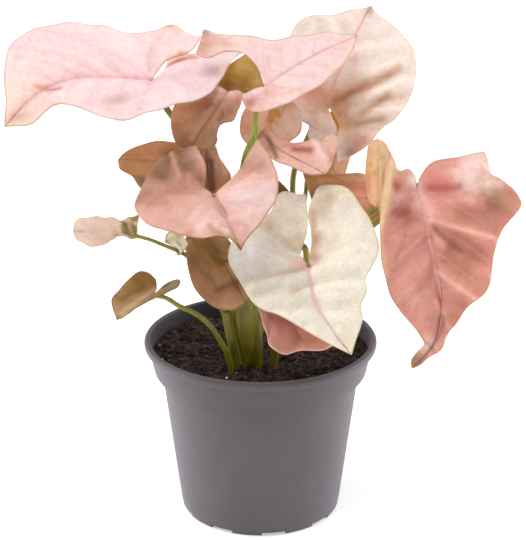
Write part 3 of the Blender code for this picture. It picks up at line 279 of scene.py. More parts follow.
# How each blade looks. Colours are 0-255 screen values. "patches" are soft spots, "spots" the same with a
# crisp edge, and "strokes" soft lines: places are (along the midrib, across it, + to the leaf's left) in mm,
# then a radius, a colour and a strength. "folds" are ridges (+) and creases (-) with a width and a height.
# "quilt" is how far the blade swells between its veins, "wave" how far its margin waves, "laterals" how many
# side veins each half has, "lean" the angle at which they leave the midrib. Many patches and strokes are
# painted light and shade: painted shade in creases, in hollows and under other leaves, painted highlights on
# ridges, and painted light that lifts shade; the comment at each leaf says which.
LOOKS = {
    # Painted light and shade: the pale pink patches at (-28, 4) and (-38, -1) are painted light that lifts the shadow
    # of the top-centre leaf's lobe; the salmon strokes from (-14, -9) to (-31, -10) are the underside of the rolled-up
    # notch edge with painted shade on it; the browner stroke from (56, -14) to (47, -7), the greyer stroke from (34,
    # 15) to (17, 15) and the patch at (28, 15) are painted shade in its creases.
    "leaf_far_left": dict(
        base=(249, 214, 216), vein=(238, 190, 196), rim=(166, 136, 108), laterals=7, quilt=0.8, wave=0.5,
        lean=44, veined=0.35,
        patches=[(67, -5, 13, (240, 210, 198), 0.75), (70, -17, 8, (246, 216, 208), 0.5),
                 (72, 0, 5, (200, 170, 140), 0.7), (28, 15, 6, (212, 182, 182), 0.7),
                 (-26, -31, 5, (222, 172, 150), 0.9), (-28, 4, 11, (252, 216, 224), 0.7), (-38, -1, 8, (255, 232, 238), 0.8),
                 (6, -3, 6, (240, 198, 206), 0.6), (36, -17, 8, (240, 212, 212), 0.5),
                 (60, -24, 8, (250, 222, 212), 0.5), (-12, 6, 6, (250, 208, 220), 0.6)],
        strokes=[((56, -14), (47, -7), 1.5, (204, 158, 132), 0.85), ((-14, -9), (-23, -11), 1.8, (198, 140, 118), 0.95), ((-23, -11), (-31, -10), 1.8, (206, 150, 126), 0.9),
                 ((39, -16), (28, -8), 1.5, (232, 194, 196), 0.5), ((19, -20), (12, -5), 1.3, (236, 198, 204), 0.5),
                 ((10, -21), (-1, -13), 1.3, (238, 200, 206), 0.5), ((34, 15), (17, 15), 2.0, (222, 194, 192), 0.5)],
        folds=[((54, -14), (48, -7), 2.5, -0.9), ((24, -16), (36, -31), 3.5, 0.6), ((14, -9), (24, -27), 3.0, -0.6),
               ((5, -4), (10, -21), 3.0, 0.6), ((-2, -6), (-10, -21), 3.0, -0.6), ((34, 14), (17, 14), 4.0, -1.0),
               ((49, -2), (29, 0), 4.0, 0.8), ((27, 7), (12, 19), 4.0, 0.7)]),
    # Painted shade: the darker stroke from (-4, -3) to (6, -13) lies along a crease.
    "leaf_top_centre": dict(
        stalk=((0.0, (112, 104, 34)), (0.45, (92, 78, 36)), (0.6, (104, 94, 38)), (0.75, (150, 160, 60)), (1.0, (160, 164, 74))),
        base=(250, 212, 211), vein=(238, 178, 180), rim=(190, 136, 110), laterals=6, quilt=0.7, wave=0.5,
        lean=46, veined=0.3,
        patches=[(-10, 37, 7, (188, 140, 120), 0.9), (-4, 43, 4, (158, 128, 114), 0.9),
                 (-6, 33, 6, (236, 188, 170), 0.75), (1, 30, 7, (246, 204, 193), 0.6),
                 (-12, -3, 5, (168, 98, 72), 0.9), (-14, 4, 5, (226, 170, 156), 0.7),
                 (-9, -10, 5, (228, 182, 174), 0.7), (0, -3, 4, (230, 170, 160), 0.7),
                 (9, -18, 4, (226, 190, 166), 0.6), (52, -3, 8, (248, 204, 192), 0.7),
                 (24, 2, 11, (254, 226, 226), 0.5), (32, -13, 6, (244, 208, 200), 0.6)],
        strokes=[((-6, 4), (-15, 9), 1.7, (252, 222, 224), 0.9), ((12, 27), (40, 12), 2.0, (246, 206, 194), 0.5),
                 ((-4, -3), (6, -13), 1.5, (238, 182, 170), 0.5), ((4, 2), (12, 12), 1.2, (240, 190, 186), 0.5)],
        folds=[((0, 0), (36, -8), 4.0, 0.5), ((14, -3), (26, -15), 3.0, -0.5), ((-4, 22), (0, 4), 4.0, 0.8),
               ((8, 10), (24, 14), 4.0, -0.6), ((-6, 36), (2, 30), 3.0, -0.7), ((-4, -3), (5, -13), 2.5, -0.6)]),
    # Painted light and shade: the dark olive-brown strokes from (3, -3) to (30, -26), from (2, -18) to (15, -26) and
    # from (-4, -17) to (3, -28) are painted shade in the creases below its ridges, and the pale stroke from (11, -18)
    # to (27, -31) is a painted highlight on a ridge; the browns near the junction are partly its own colour and partly
    # painted shade under the top-centre leaf; the pale patches at (-10, -2) and (-15, 3) are painted light on a lobe
    # that faces down.
    "leaf_top_back": dict(
        base=(236, 221, 213), vein=(230, 206, 190), rib=(240, 186, 182), rim=(202, 172, 148), laterals=5,
        quilt=1.1, wave=0.7, lean=62, veined=0.25, relief_shading=0.1,
        patches=[(32, 28, 6, (226, 210, 198), 0.7), (57, 0, 4, (170, 146, 118), 0.9),
                 (51, 6, 6, (244, 210, 206), 0.6), (26, -3, 4, (214, 186, 176), 0.7),
                 (14, -9, 7, (220, 192, 172), 0.7), (3, 12, 8, (182, 132, 104), 0.95),
                 (2, 2, 7, (216, 162, 130), 0.95), (-2, -8, 6, (200, 150, 108), 0.95),
                 (-6, -13, 4, (196, 148, 88), 0.9), (-10, -2, 6, (255, 228, 220), 0.9),
                 (-15, 3, 6, (230, 206, 196), 0.9), (-6, 14, 7, (250, 216, 204), 0.85),
                 (-11, -22, 8, (198, 150, 134), 0.85), (-19, -21, 5, (146, 112, 98), 0.85),
                 (44, -21, 12, (247, 232, 227), 0.5), (16, -36, 6, (238, 210, 200), 0.7),
                 (46, 2, 6, (246, 216, 216), 0.6)],
        strokes=[((3, -3), (15, -14), 3.2, (170, 126, 84), 0.9), ((15, -15), (30, -26), 2.6, (196, 160, 132), 0.8),
                 ((2, -18), (15, -26), 2.4, (186, 154, 122), 0.85), ((-4, -17), (3, -28), 2.2, (190, 150, 118), 0.8),
                 ((11, -18), (27, -31), 1.8, (252, 236, 228), 0.7), ((-6, -22), (0, -32), 1.8, (232, 196, 182), 0.7)],
        folds=[((12, -1), (32, -25), 3.4, 1.5), ((9, -4), (23, -23), 3.0, -1.4), ((8, -10), (25, -35), 3.0, 1.2),
               ((4, -12), (15, -30), 3.0, -1.2), ((0, -10), (10, -35), 3.0, 1.0), ((-4, -14), (2, -31), 3.0, -1.0),
               ((-9, -14), (-6, -28), 3.0, 1.0), ((20, 10), (40, 7), 4.0, -0.8), ((-8, 12), (-11, -3), 3.0, -1.0)]),
    "leaf_under_back": dict(
        base=(186, 148, 66), vein=(200, 168, 92), rim=(140, 108, 50), laterals=3, quilt=0.3, wave=0.2,
        patches=[(4, 8, 5, (178, 140, 54), 0.7), (12, 4, 4, (156, 112, 70), 0.8)],
        spots=[(18, 6, 7, (236, 202, 182), 0.95)], strokes=[]),
    # Painted light: the pale patches at (7, 15), (14, 8) and (8, 9) lighten its left half, which lies in shade.
    "leaf_centre_pale": dict(
        base=(230, 190, 170), vein=(204, 152, 130), rim=(144, 106, 82), laterals=3, quilt=0.4, wave=0.3,
        veined=0.25,
        patches=[(4, -12, 6, (198, 150, 130), 0.8), (14, -12, 5, (190, 146, 118), 0.8),
                 (14, 8, 6, (236, 212, 192), 0.7), (7, 15, 5, (255, 240, 230), 0.8),
                 (1, 11, 4, (208, 168, 140), 0.9), (8, 9, 8, (246, 212, 196), 0.6), (-1, -6, 4, (210, 150, 132), 0.8)],
        spots=[(6, 2, 3.0, (200, 156, 74), 1.0), (9, 0, 2.4, (200, 158, 78), 1.0)],
        strokes=[((14, 7), (11, 14), 1.4, (238, 206, 194), 0.6), ((1, 8), (11, 3), 0.7, (196, 150, 120), 0.7)],
        folds=[((4, -4), (17, -4), 2.5, -0.8), ((14, 7), (11, 14), 2.0, 0.8), ((6, 6), (18, 8), 2.0, -0.8)]),
    # Painted shade: the dark stroke from (20, 0) to (27, 4) lies in a crease.
    "leaf_centre_band": dict(
        base=(234, 184, 170), vein=(214, 148, 134), rim=(170, 120, 94), laterals=3, quilt=0.5, wave=0.3,
        veined=0.3,
        patches=[(7, -1, 5, (250, 194, 182), 0.8), (19, 1, 4, (248, 200, 190), 0.6), (-1, 3, 4, (212, 170, 136), 0.8),
                 (12, 4, 4, (210, 174, 150), 0.7), (10, -8, 4, (182, 140, 104), 0.85),
                 (1, -1, 3, (160, 118, 68), 0.9), (35, 2, 5, (246, 206, 200), 0.7),
                 (39, 8, 3, (186, 148, 112), 0.8), (30, 14, 4, (226, 186, 168), 0.6),
                 (18, -2, 5, (230, 178, 168), 0.6)],
        strokes=[((20, 0), (27, 4), 2.0, (168, 96, 76), 0.9), ((5, -2), (16, -9), 1.4, (128, 108, 46), 0.9),
                 ((15, -1), (23, 8), 1.4, (210, 142, 122), 0.7), ((24, 10), (35, 5), 1.4, (248, 214, 206), 0.7)],
        folds=[((20, 1), (26, 4), 2.2, -1.0), ((24, 9), (33, 3), 2.5, 0.9), ((13, -6), (32, -3), 2.5, 0.7),
               ((28, 12), (36, 8), 2.0, -0.8)]),
    "leaf_right_peach": dict(
        base=(228, 186, 144), vein=(222, 172, 126), rim=(222, 162, 136), laterals=3, quilt=0.4, wave=0.3,
        patches=[(9, 6, 6, (228, 168, 146), 0.85), (14, -5, 5, (210, 130, 118), 0.85),
                 (24, -4, 4, (240, 224, 188), 0.8), (33, 0, 5, (236, 214, 186), 0.7),
                 (4, 0, 4, (224, 194, 154), 0.7)],
        spots=[(17, 2, 1.6, (184, 170, 84), 0.9), (22, 4, 1.1, (188, 172, 92), 0.8)],
        strokes=[((4, 0), (23, -1), 1.2, (244, 224, 176), 0.85), ((24, -3), (9, -5), 1.6, (230, 172, 154), 0.6)],
        folds=[((4, 1), (22, 1), 1.8, 0.7), ((24, -3), (9, -4), 2.0, -0.7), ((8, 6), (26, 6), 2.4, -0.7)]),
    "leaf_back_right": dict(
        base=(162, 122, 80), vein=(178, 140, 100), rim=(180, 128, 104), laterals=4, quilt=0.5, wave=0.4,
        veined=0.3,
        patches=[(8, -2, 7, (222, 160, 142), 0.9), (31, -11, 8, (172, 142, 86), 0.8), (19, -2, 6, (120, 80, 44), 0.8), (31, -1, 5, (126, 74, 50), 0.8),
                 (12, -11, 5, (176, 134, 94), 0.7), (3, -11, 5, (214, 164, 140), 0.8)],
        strokes=[((27, -11), (7, -10), 1.4, (188, 150, 104), 0.6)],
        folds=[((27, -11), (7, -10), 2.4, 0.8), ((30, -6), (23, 0), 2.6, -0.8), ((16, -6), (8, 2), 3.0, 0.7)]),
    "leaf_back_olive": dict(
        base=(168, 140, 46), vein=(188, 160, 84), rim=(110, 84, 34), laterals=3, quilt=0.4, wave=0.2,
        veined=0.4,
        patches=[(7, 17, 6, (126, 96, 20), 0.9), (5, 9, 5, (140, 104, 44), 0.8), (4, 1, 4, (214, 180, 124), 0.7),
                 (18, 7, 6, (182, 150, 78), 0.5)], strokes=[],
        folds=[((4, 6), (14, 12), 2.0, 0.6)]),
    "leaf_dark_olive": dict(
        base=(100, 90, 42), vein=(124, 110, 60), rim=(70, 62, 40), laterals=2, quilt=0.2, wave=0.2,
        patches=[(3, 5, 3, (132, 112, 78), 0.7)], strokes=[]),
    # Painted shade: the dark browns at (-34, -8), (-24, -20), (-22, -8) and (-13, -1) are partly its own colour and
    # partly painted shadow from the leaves above it; the dark strokes from (-29, -13) to (-20, -19) and from (-13, -3)
    # to (-6, -1) are painted shade in its creases.
    "leaf_front_left": dict(
        base=(222, 175, 163), vein=(222, 174, 166), rim=(146, 108, 84), laterals=5, quilt=0.8, wave=0.5,
        lean=56, veined=0.25, ribbed=0.3, relief_shading=0.12,
        patches=[(-34, -8, 9, (106, 76, 38), 0.95), (-24, -20, 11, (132, 97, 60), 0.95),
                 (-22, -8, 8, (124, 88, 52), 0.95), (-13, -1, 6, (152, 100, 70), 0.95),
                 (-9, -13, 8, (174, 126, 106), 0.85), (-7, -26, 9, (172, 126, 104), 0.85),
                 (-14, -33, 8, (162, 120, 102), 0.9), (17, -10, 8, (250, 210, 204), 0.85),
                 (20, -20, 4, (206, 156, 138), 0.85), (9, 12, 9, (238, 208, 210), 0.9),
                 (17, 19, 9, (232, 202, 200), 0.9), (24, 11, 6, (240, 202, 194), 0.7),
                 (0, 19, 6, (214, 166, 154), 0.8), (-2, 25, 5, (178, 130, 112), 0.85),
                 (-9, 18, 6, (162, 108, 80), 0.9), (-15, 26, 8, (198, 166, 146), 0.9),
                 (3, -28, 6, (210, 166, 154), 0.7)],
        spots=[(24, -3, 1.8, (236, 220, 198), 0.9), (25, -15, 1.6, (190, 152, 124), 0.6)],
        strokes=[((-33, -10), (-16, -12), 1.2, (196, 148, 122), 0.6), ((-29, -13), (-20, -19), 1.6, (140, 98, 66), 0.7),
                 ((-22, 2), (-8, 0), 1.3, (206, 146, 128), 0.7), ((-13, -3), (-6, -1), 1.4, (140, 88, 58), 0.8),
                 ((25, -7), (29, -3), 2.2, (166, 150, 84), 0.95), ((30, -3), (34, 0), 2.2, (134, 116, 20), 0.95),
                 ((20, -9), (26, -7), 1.6, (204, 152, 136), 0.8), ((2, 3), (5, 20), 1.4, (230, 182, 174), 0.6),
                 ((0, 0), (17, 1), 0.7, (196, 142, 132), 0.6)],
        folds=[((-34, -9), (-16, -11), 2.2, 1.3), ((-29, -12), (-20, -18), 3.0, -1.0), ((-18, -3), (-8, -3), 3.0, -0.9),
               ((3, 4), (5, 20), 3.0, 0.9), ((0, 10), (-4, 24), 3.0, -0.8), ((13, 2), (18, 19), 3.0, -0.7),
               ((20, 1), (22, 11), 2.5, 0.7), ((-10, -29), (2, -7), 3.5, 0.9), ((9, -28), (18, -8), 3.5, -0.9),
               ((18, -18), (19, -6), 2.5, 0.8), ((0, 0), (16, 0), 1.6, -0.7)]),
    # Painted light and shade: its brown is partly its own colour and partly painted shade under the far-left leaf; the
    # pink patches at (1, 2), (3, -4) and (-4, 3) are its own pink with a painted highlight on its folded edge; the dark
    # stroke from (9, 7) to (17, 5) is painted shade in a crease.
    "leaf_brown_upper": dict(
        base=(170, 124, 92), vein=(152, 108, 78), rim=(126, 92, 70), laterals=4, quilt=0.6, wave=0.3,
        veined=0.3, ribbed=0.3,
        patches=[(22, -9, 9, (190, 150, 116), 0.8), (1, 2, 4, (240, 192, 190), 0.9), (3, -4, 4, (234, 200, 194), 0.9),
                 (6, -8, 4, (206, 158, 148), 0.8), (-4, 3, 4, (238, 184, 178), 0.9), (5, 7, 4, (184, 132, 114), 0.7),
                 (24, -14, 6, (200, 158, 128), 0.7), (36, -3, 6, (134, 92, 58), 0.8),
                 (26, 6, 6, (126, 88, 60), 0.9), (13, 3, 5, (156, 108, 80), 0.7)],
        strokes=[((7, 0), (32, -2), 0.9, (186, 138, 112), 0.5), ((9, 7), (17, 5), 1.2, (146, 102, 76), 0.7)],
        folds=[((7, 0), (33, -2), 3.0, 0.6), ((9, 7), (17, 5), 2.2, -0.8), ((7, -7), (18, -8), 3.0, -0.7),
               ((-1, -4), (1, 5), 2.0, 0.9), ((34, 7), (27, 9), 2.0, 0.6)]),
    # Painted light and shade: the dark stroke and patches along (12, 1) to (26, 0) are painted shade in its crease, the
    # paler strokes from (7, 5) to (20, 8) and from (10, -3) to (20, -4) are painted highlights on its ridges, and the
    # pale patch at (7, 3) is painted light that lifts the shadow in a fold.
    "leaf_brown_lower": dict(
        base=(152, 110, 82), vein=(136, 94, 70), rim=(122, 88, 68), laterals=3, quilt=0.4, wave=0.3,
        ribbed=0.3,
        patches=[(25, 0, 4, (116, 74, 42), 0.95), (7, 3, 6, (224, 188, 164), 0.9), (20, 7, 5, (152, 110, 88), 0.7),
                 (12, -5, 5, (104, 68, 42), 0.9), (17, 0, 3, (124, 78, 60), 0.9)],
        strokes=[((12, 1), (26, 0), 1.6, (112, 70, 48), 0.9), ((7, 5), (20, 8), 1.2, (178, 136, 114), 0.7),
                 ((10, -3), (20, -4), 1.0, (192, 140, 124), 0.7)],
        folds=[((12, 1), (26, 0), 2.0, -1.2), ((7, 6), (21, 8), 1.8, 0.9), ((6, -3), (19, -4), 1.8, 0.9)]),
    "leaf_left_olive": dict(
        base=(186, 144, 98), vein=(202, 164, 116), rim=(120, 94, 62), laterals=4, quilt=0.4, wave=0.3,
        veined=0.3,
        patches=[(20, -6, 7, (198, 152, 112), 0.7), (31, 0, 6, (184, 150, 92), 0.7), (9, -3, 6, (120, 88, 50), 0.85), (13, -9, 5, (196, 158, 122), 0.7),
                 (34, 6, 4, (176, 130, 98), 0.6)],
        spots=[(29, 13, 3.6, (122, 112, 78), 0.95)],
        strokes=[((37, 0), (14, -2), 0.9, (208, 170, 124), 0.5)],
        folds=[((37, 1), (23, 7), 2.4, 0.7), ((38, -1), (14, -5), 2.6, -0.6), ((20, 8), (8, 4), 2.4, -0.6)]),
    "leaf_small_left": dict(
        base=(222, 204, 192), vein=(214, 192, 176), rim=(176, 158, 128), laterals=3, quilt=0.4, wave=0.5,
        ripple=9.0, veined=0.25, ribbed=0.0,
        patches=[(23, 6, 5, (184, 170, 156), 0.8), (8, -7, 4, (220, 186, 176), 0.6), (12, 5, 3.5, (134, 118, 64), 0.85)],
        spots=[(4, -1, 5.0, (122, 116, 54), 0.9), (-2, 1, 5.5, (128, 142, 46), 0.95), (1, -9, 3.5, (126, 134, 58), 0.9)],
        strokes=[((9, -8), (0, -1), 1.0, (104, 112, 36), 0.85), ((4, -8), (3, 1), 0.8, (200, 196, 156), 0.9),
                 ((6, 4), (0, 3), 1.0, (166, 160, 96), 0.7)],
        folds=[((9, -9), (0, 1), 1.8, -1.2), ((20, -4), (30, 2), 3.0, -0.6), ((26, 4), (16, 3), 2.6, 0.6),
               ((4, -8), (1, 0), 1.5, 0.9)]),
    "leaf_bract": dict(
        base=(226, 222, 190), vein=(222, 216, 190), rim=(120, 118, 74), laterals=2, quilt=0.1, wave=0.1,
        patches=[(12, 1, 3, (134, 138, 88), 0.9), (7, -6, 3, (160, 136, 96), 0.7)], strokes=[]),
    # Painted shade: the darker stroke from (2, -6) to (14, -7) lies along a crease.
    "leaf_low_left": dict(
        base=(154, 128, 76), vein=(178, 150, 100), rim=(96, 78, 48), laterals=3, quilt=0.4, wave=0.3,
        veined=0.4,
        patches=[(20, -2, 4, (178, 146, 112), 0.85), (2, -10, 6, (128, 100, 44), 0.8), (-8, -2, 4, (84, 70, 28), 0.9),
                 (-10, 4, 4, (156, 152, 128), 0.8), (8, -3, 4, (160, 134, 86), 0.5)],
        strokes=[((-3, -1), (20, 0), 1.7, (220, 204, 172), 0.9), ((2, -6), (14, -7), 1.0, (120, 94, 44), 0.6)],
        folds=[((2, -6), (14, -7), 2.2, -0.7), ((0, -10), (10, -12), 2.0, 0.7)]),
    # Painted shade: the dark strokes from (6, -13) to (24, -9), from (26, -11) to (27, 3) and from (15, -1) to (18, 8)
    # lie in its creases.
    "leaf_brown_front": dict(
        base=(162, 126, 88), vein=(132, 104, 50), rim=(108, 80, 56), laterals=4, quilt=0.7, wave=0.3,
        veined=0.3, ribbed=0.3,
        patches=[(11, -3, 7, (116, 90, 36), 0.9), (18, 4, 5, (192, 158, 118), 0.85),
                 (4, -8, 5, (144, 112, 64), 0.8), (34, -8, 7, (184, 142, 110), 0.85),
                 (26, 1, 4, (150, 110, 72), 0.8), (20, -14, 6, (176, 138, 98), 0.7), (29, -17, 3, (142, 116, 96), 0.8)],
        strokes=[((-1, -8), (22, -3), 1.0, (150, 120, 52), 0.7), ((1, -5), (20, 4), 0.9, (140, 114, 46), 0.7),
                 ((6, -13), (24, -9), 1.0, (150, 114, 72), 0.6), ((26, -11), (27, 3), 1.2, (128, 90, 56), 0.7),
                 ((15, -1), (18, 8), 1.2, (122, 94, 44), 0.7)],
        folds=[((-1, -8), (22, -3), 2.2, 0.8), ((6, -12), (24, -9), 2.4, -0.8), ((26, -12), (27, 3), 2.6, -0.9),
               ((15, -1), (18, 8), 2.2, -0.9), ((20, 0), (22, 7), 2.0, 0.8)]),
    # Painted light and shade: the tan stroke from (-25, 14) to (-3, 4) and the patches at (-11, 9) and (-30, -8) are
    # painted shade beside the notch and on a back lobe; the greyer strokes from (-11, -2) to (-30, -10), (1, -6) to (0,
    # -27), (14, -14) to (11, -4), (23, -7) to (19, -22) and (12, -2) to (19, 20) are painted shade in its creases; the
    # near-white patch at (-16, -24) is painted light that lifts the shade of the leaf in front of it.
    "leaf_front_cream": dict(
        base=(239, 231, 216), vein=(226, 214, 198), rib=(236, 196, 194), rim=(196, 186, 140), laterals=6,
        quilt=1.0, wave=0.6, lean=66, veined=0.2, ribbed=0.75, relief_shading=0.08,
        patches=[(-37, 1, 7, (222, 204, 188), 0.7), (-25, 3, 6, (216, 200, 178), 0.75),
                 (-30, -8, 4, (206, 188, 160), 0.9), (-16, -24, 13, (255, 253, 247), 0.95),
                 (-15, 2, 4, (210, 182, 154), 0.8), (-11, 9, 4, (160, 126, 100), 0.8), (-14, -4, 4, (222, 202, 178), 0.8), (10, -3, 4, (255, 248, 240), 0.7),
                 (-1, -4, 5, (238, 190, 188), 0.9), (-1, 4, 4, (226, 186, 176), 0.8),
                 (-28, 24, 5, (196, 176, 148), 0.85), (-25, 16, 7, (204, 188, 162), 0.85),
                 (-29, 32, 4, (230, 206, 174), 0.7), (13, -12, 3, (208, 194, 172), 0.8),
                 (28, 5, 4, (222, 212, 196), 0.7), (46, 1, 5, (240, 224, 196), 0.6)],
        strokes=[((-25, 14), (-3, 4), 2.2, (186, 158, 132), 0.75), ((-11, -2), (-30, -10), 1.6, (212, 198, 176), 0.5),
                 ((1, -6), (0, -27), 1.5, (212, 198, 176), 0.7), ((14, -14), (11, -4), 1.2, (204, 190, 166), 0.7),
                 ((23, -7), (19, -22), 1.4, (222, 210, 192), 0.5), ((-3, 2), (-12, 3), 1.0, (196, 140, 124), 0.7),
                 ((12, -2), (19, 20), 1.4, (222, 210, 192), 0.5), ((26, 22), (33, 15), 1.0, (160, 152, 84), 0.9)],
        folds=[((-9, -2), (-30, -11), 3.0, -1.6), ((-3, -4), (-18, -21), 3.2, 1.4), ((1, -5), (-3, -29), 3.0, -1.3),
               ((6, -5), (2, -28), 2.8, 1.0), ((11, -5), (6, -28), 2.8, -1.1), ((16, -7), (12, -28), 2.8, 0.9),
               ((21, -8), (17, -27), 2.6, -0.9), ((27, -8), (26, -22), 2.6, 0.8), ((32, -6), (32, -16), 2.4, -0.7),
               ((0, 2), (-6, 18), 3.4, -1.2), ((5, 2), (6, 22), 3.2, 1.2), ((11, 0), (18, 20), 3.0, -1.1),
               ((17, -1), (25, 18), 3.0, 0.9), ((24, -3), (32, 14), 2.8, -0.8), ((31, -4), (38, 10), 2.6, 0.7),
               ((-16, 18), (-30, 22), 4.0, -0.9)]),
    # Painted light and shade: its base is set lighter to lift the shade it lies in, and the dark stroke from (3, -5) to
    # (21, -11) is painted shade in its crease.
    "leaf_rose_under": dict(
        base=(206, 146, 136), vein=(172, 104, 96), rim=(238, 186, 170), laterals=4, quilt=0.6, wave=0.4,
        veined=0.3,
        patches=[(-1, -13, 4, (148, 80, 70), 0.9), (7, -10, 6, (178, 116, 106), 0.8), (16, -10, 6, (204, 142, 130), 0.6),
                 (26, -9, 6, (202, 144, 128), 0.7), (18, -20, 5, (206, 150, 136), 0.7), (-9, -10, 4, (176, 150, 130), 0.8)],
        strokes=[((-8, -11), (10, -21), 1.6, (216, 164, 152), 0.5), ((3, -5), (21, -11), 1.2, (166, 100, 88), 0.6),
                 ((25, -15), (33, -4), 1.4, (218, 158, 144), 0.6)],
        folds=[((3, -5), (21, -11), 3.0, -1.0), ((-2, -10), (16, -18), 2.8, 1.0), ((25, -14), (33, -4), 2.6, 0.8)]),
    # Painted shade: the dark reds and browns in its hollows, at (14, -7), (1, -11), (8, 37), (17, 21), (31, 15), (38,
    # 23), (57, 11) and (64, 18), and the dark strokes from (20, 8) to (32, 20) and from (1, 6) to (0, 20), are painted
    # shade below its ridges.
    "leaf_right_salmon": dict(
        base=(206, 146, 132), vein=(236, 186, 174), rib=(240, 184, 182), rim=(180, 134, 104), laterals=6,
        quilt=1.3, wave=0.6, lean=54, veined=0.35, ribbed=0.85, relief_shading=0.14,
        patches=[(4, 3, 4, (250, 190, 190), 0.9), (10, 1, 4, (250, 204, 198), 0.7), (13, 5, 4, (242, 184, 180), 0.8), (14, -7, 6, (142, 76, 58), 0.9),
                 (5, -9, 5, (224, 168, 162), 0.85), (1, -11, 3, (158, 78, 54), 0.9), (-7, -8, 4, (196, 158, 136), 0.9),
                 (-2, -2, 3, (250, 228, 220), 0.9), (-1, 11, 5, (206, 122, 110), 0.7), (-13, 31, 9, (246, 210, 208), 0.9),
                 (-3, 25, 7, (254, 224, 218), 0.85), (1, 36, 5, (255, 238, 226), 0.8), (8, 37, 8, (148, 106, 76), 0.95),
                 (6, 45, 5, (194, 148, 120), 0.8), (17, 21, 6, (182, 122, 100), 0.85), (31, 15, 6, (150, 94, 74), 0.9),
                 (38, 23, 6, (170, 114, 86), 0.85), (46, 27, 5, (206, 152, 128), 0.7), (50, 17, 5, (226, 170, 152), 0.85),
                 (57, 11, 4, (184, 120, 102), 0.85), (27, -2, 4, (194, 122, 110), 0.7), (27, 10, 4, (230, 174, 158), 0.7), (22, -8, 6, (196, 130, 116), 0.7),
                 (55, -3, 5, (240, 190, 176), 0.7), (64, 18, 6, (176, 122, 100), 0.8), (87, 1, 6, (136, 108, 80), 0.95),
                 (77, 7, 4, (244, 214, 204), 0.85)],
        strokes=[((-11, -13), (22, -20), 1.9, (234, 208, 158), 0.9), ((22, -20), (45, -17), 1.2, (220, 178, 138), 0.8),
                 ((17, 6), (25, 34), 1.1, (238, 190, 176), 0.7), ((42, 9), (54, 27), 1.1, (236, 186, 172), 0.7),
                 ((23, 4), (36, -10), 1.0, (236, 184, 172), 0.6), ((20, 8), (32, 20), 1.8, (158, 100, 82), 0.6),
                 ((1, 6), (0, 20), 1.8, (190, 104, 98), 0.7), ((56, 8), (72, 18), 1.2, (232, 184, 168), 0.5),
                 ((72, 2), (80, 10), 1.2, (166, 116, 96), 0.7)],
        folds=[((10, -3), (17, -15), 3.6, -1.6), ((21, 5), (27, -12), 3.0, 1.4), ((26, 4), (35, -10), 3.2, -1.4),
               ((36, 5), (48, -10), 3.2, 1.2), ((44, 6), (58, -6), 3.2, -1.1), ((3, 6), (0, 22), 3.6, -1.6),
               ((8, 10), (8, 30), 3.4, 1.6), ((17, 7), (25, 34), 2.6, 1.3), ((22, 10), (32, 28), 4.0, -1.8),
               ((12, 22), (12, 38), 3.6, -1.4), ((33, 12), (41, 32), 3.0, 1.4), ((42, 10), (54, 27), 2.4, 1.1),
               ((47, 14), (60, 24), 3.4, -1.3), ((58, 10), (68, 20), 3.0, 1.1), ((64, 14), (74, 18), 2.8, -1.1),
               ((-6, 18), (-12, 30), 3.4, 1.1), ((62, 2), (76, 6), 2.6, 0.9)]),
}


def rgb(color):
    """Screen values 0-255 as the linear values that a shader takes."""
    parts = np.asarray(color, float) / 255
    return np.where(parts <= 0.04045, parts / 12.92, ((parts + 0.055) / 1.055) ** 2.4)


def unit(vector):
    vector = np.asarray(vector, float)
    return vector / np.linalg.norm(vector)


def spaced(points, steps):
    """The same path with its points evenly spaced along it."""
    lengths = np.linalg.norm(np.diff(points, axis=0), axis=1)
    travelled = np.concatenate([[0.0], np.cumsum(lengths)])
    wanted = np.linspace(0.0, travelled[-1], steps + 1)
    return np.stack([np.interp(wanted, travelled, column) for column in points.T], axis=1)


def path_length(points):
    return np.linalg.norm(np.diff(np.asarray(points, float), axis=0), axis=1).sum()


def smooth_path(points, per_span=16):
    """A rounded path through the points: Catmull-Rom spans on square-root chord spacing."""
    points = np.asarray(points, float)
    if len(points) < 3:
        return spaced(points, per_span)
    chords = np.maximum(np.linalg.norm(np.diff(points, axis=0), axis=1), 1e-6)
    knots = np.concatenate([[0.0], np.cumsum(np.sqrt(chords))])
    knots = np.concatenate([[-knots[1]], knots, [2 * knots[-1] - knots[-2]]])
    padded = np.vstack([2 * points[0] - points[1], points, 2 * points[-1] - points[-2]])
    path = []
    for span in range(len(points) - 1):
        p0, p1, p2, p3 = padded[span:span + 4]
        t0, t1, t2, t3 = knots[span:span + 4]
        for t in np.linspace(t1, t2, per_span, endpoint=False):
            a1 = ((t1 - t) * p0 + (t - t0) * p1) / (t1 - t0)
            a2 = ((t2 - t) * p1 + (t - t1) * p2) / (t2 - t1)
            a3 = ((t3 - t) * p2 + (t - t2) * p3) / (t3 - t2)
            b1 = ((t2 - t) * a1 + (t - t0) * a2) / (t2 - t0)
            b2 = ((t3 - t) * a2 + (t - t1) * a3) / (t3 - t1)
            path.append(((t2 - t) * b1 + (t - t1) * b2) / (t2 - t1))
    path.append(points[-1])
    return np.array(path)


def smooth_step(values, low, high):
    share = np.clip((values - low) / (high - low), 0.0, 1.0)
    return share * share * (3 - 2 * share)


def mix(colors, color, amount):
    """Colours moved towards one colour by an amount for each point."""
    amount = np.clip(amount, 0.0, 1.0)[:, None]
    return colors * (1 - amount) + np.asarray(color) * amount


def soft_noise(points, size, seed):
    """Smooth noise between -1 and 1 at each point, with features of the given size in mm."""
    shift = Vector((seed * 17.3, seed * 5.1, seed * 9.7))
    return np.array([noise.noise(Vector(p) / size + shift) for p in points])


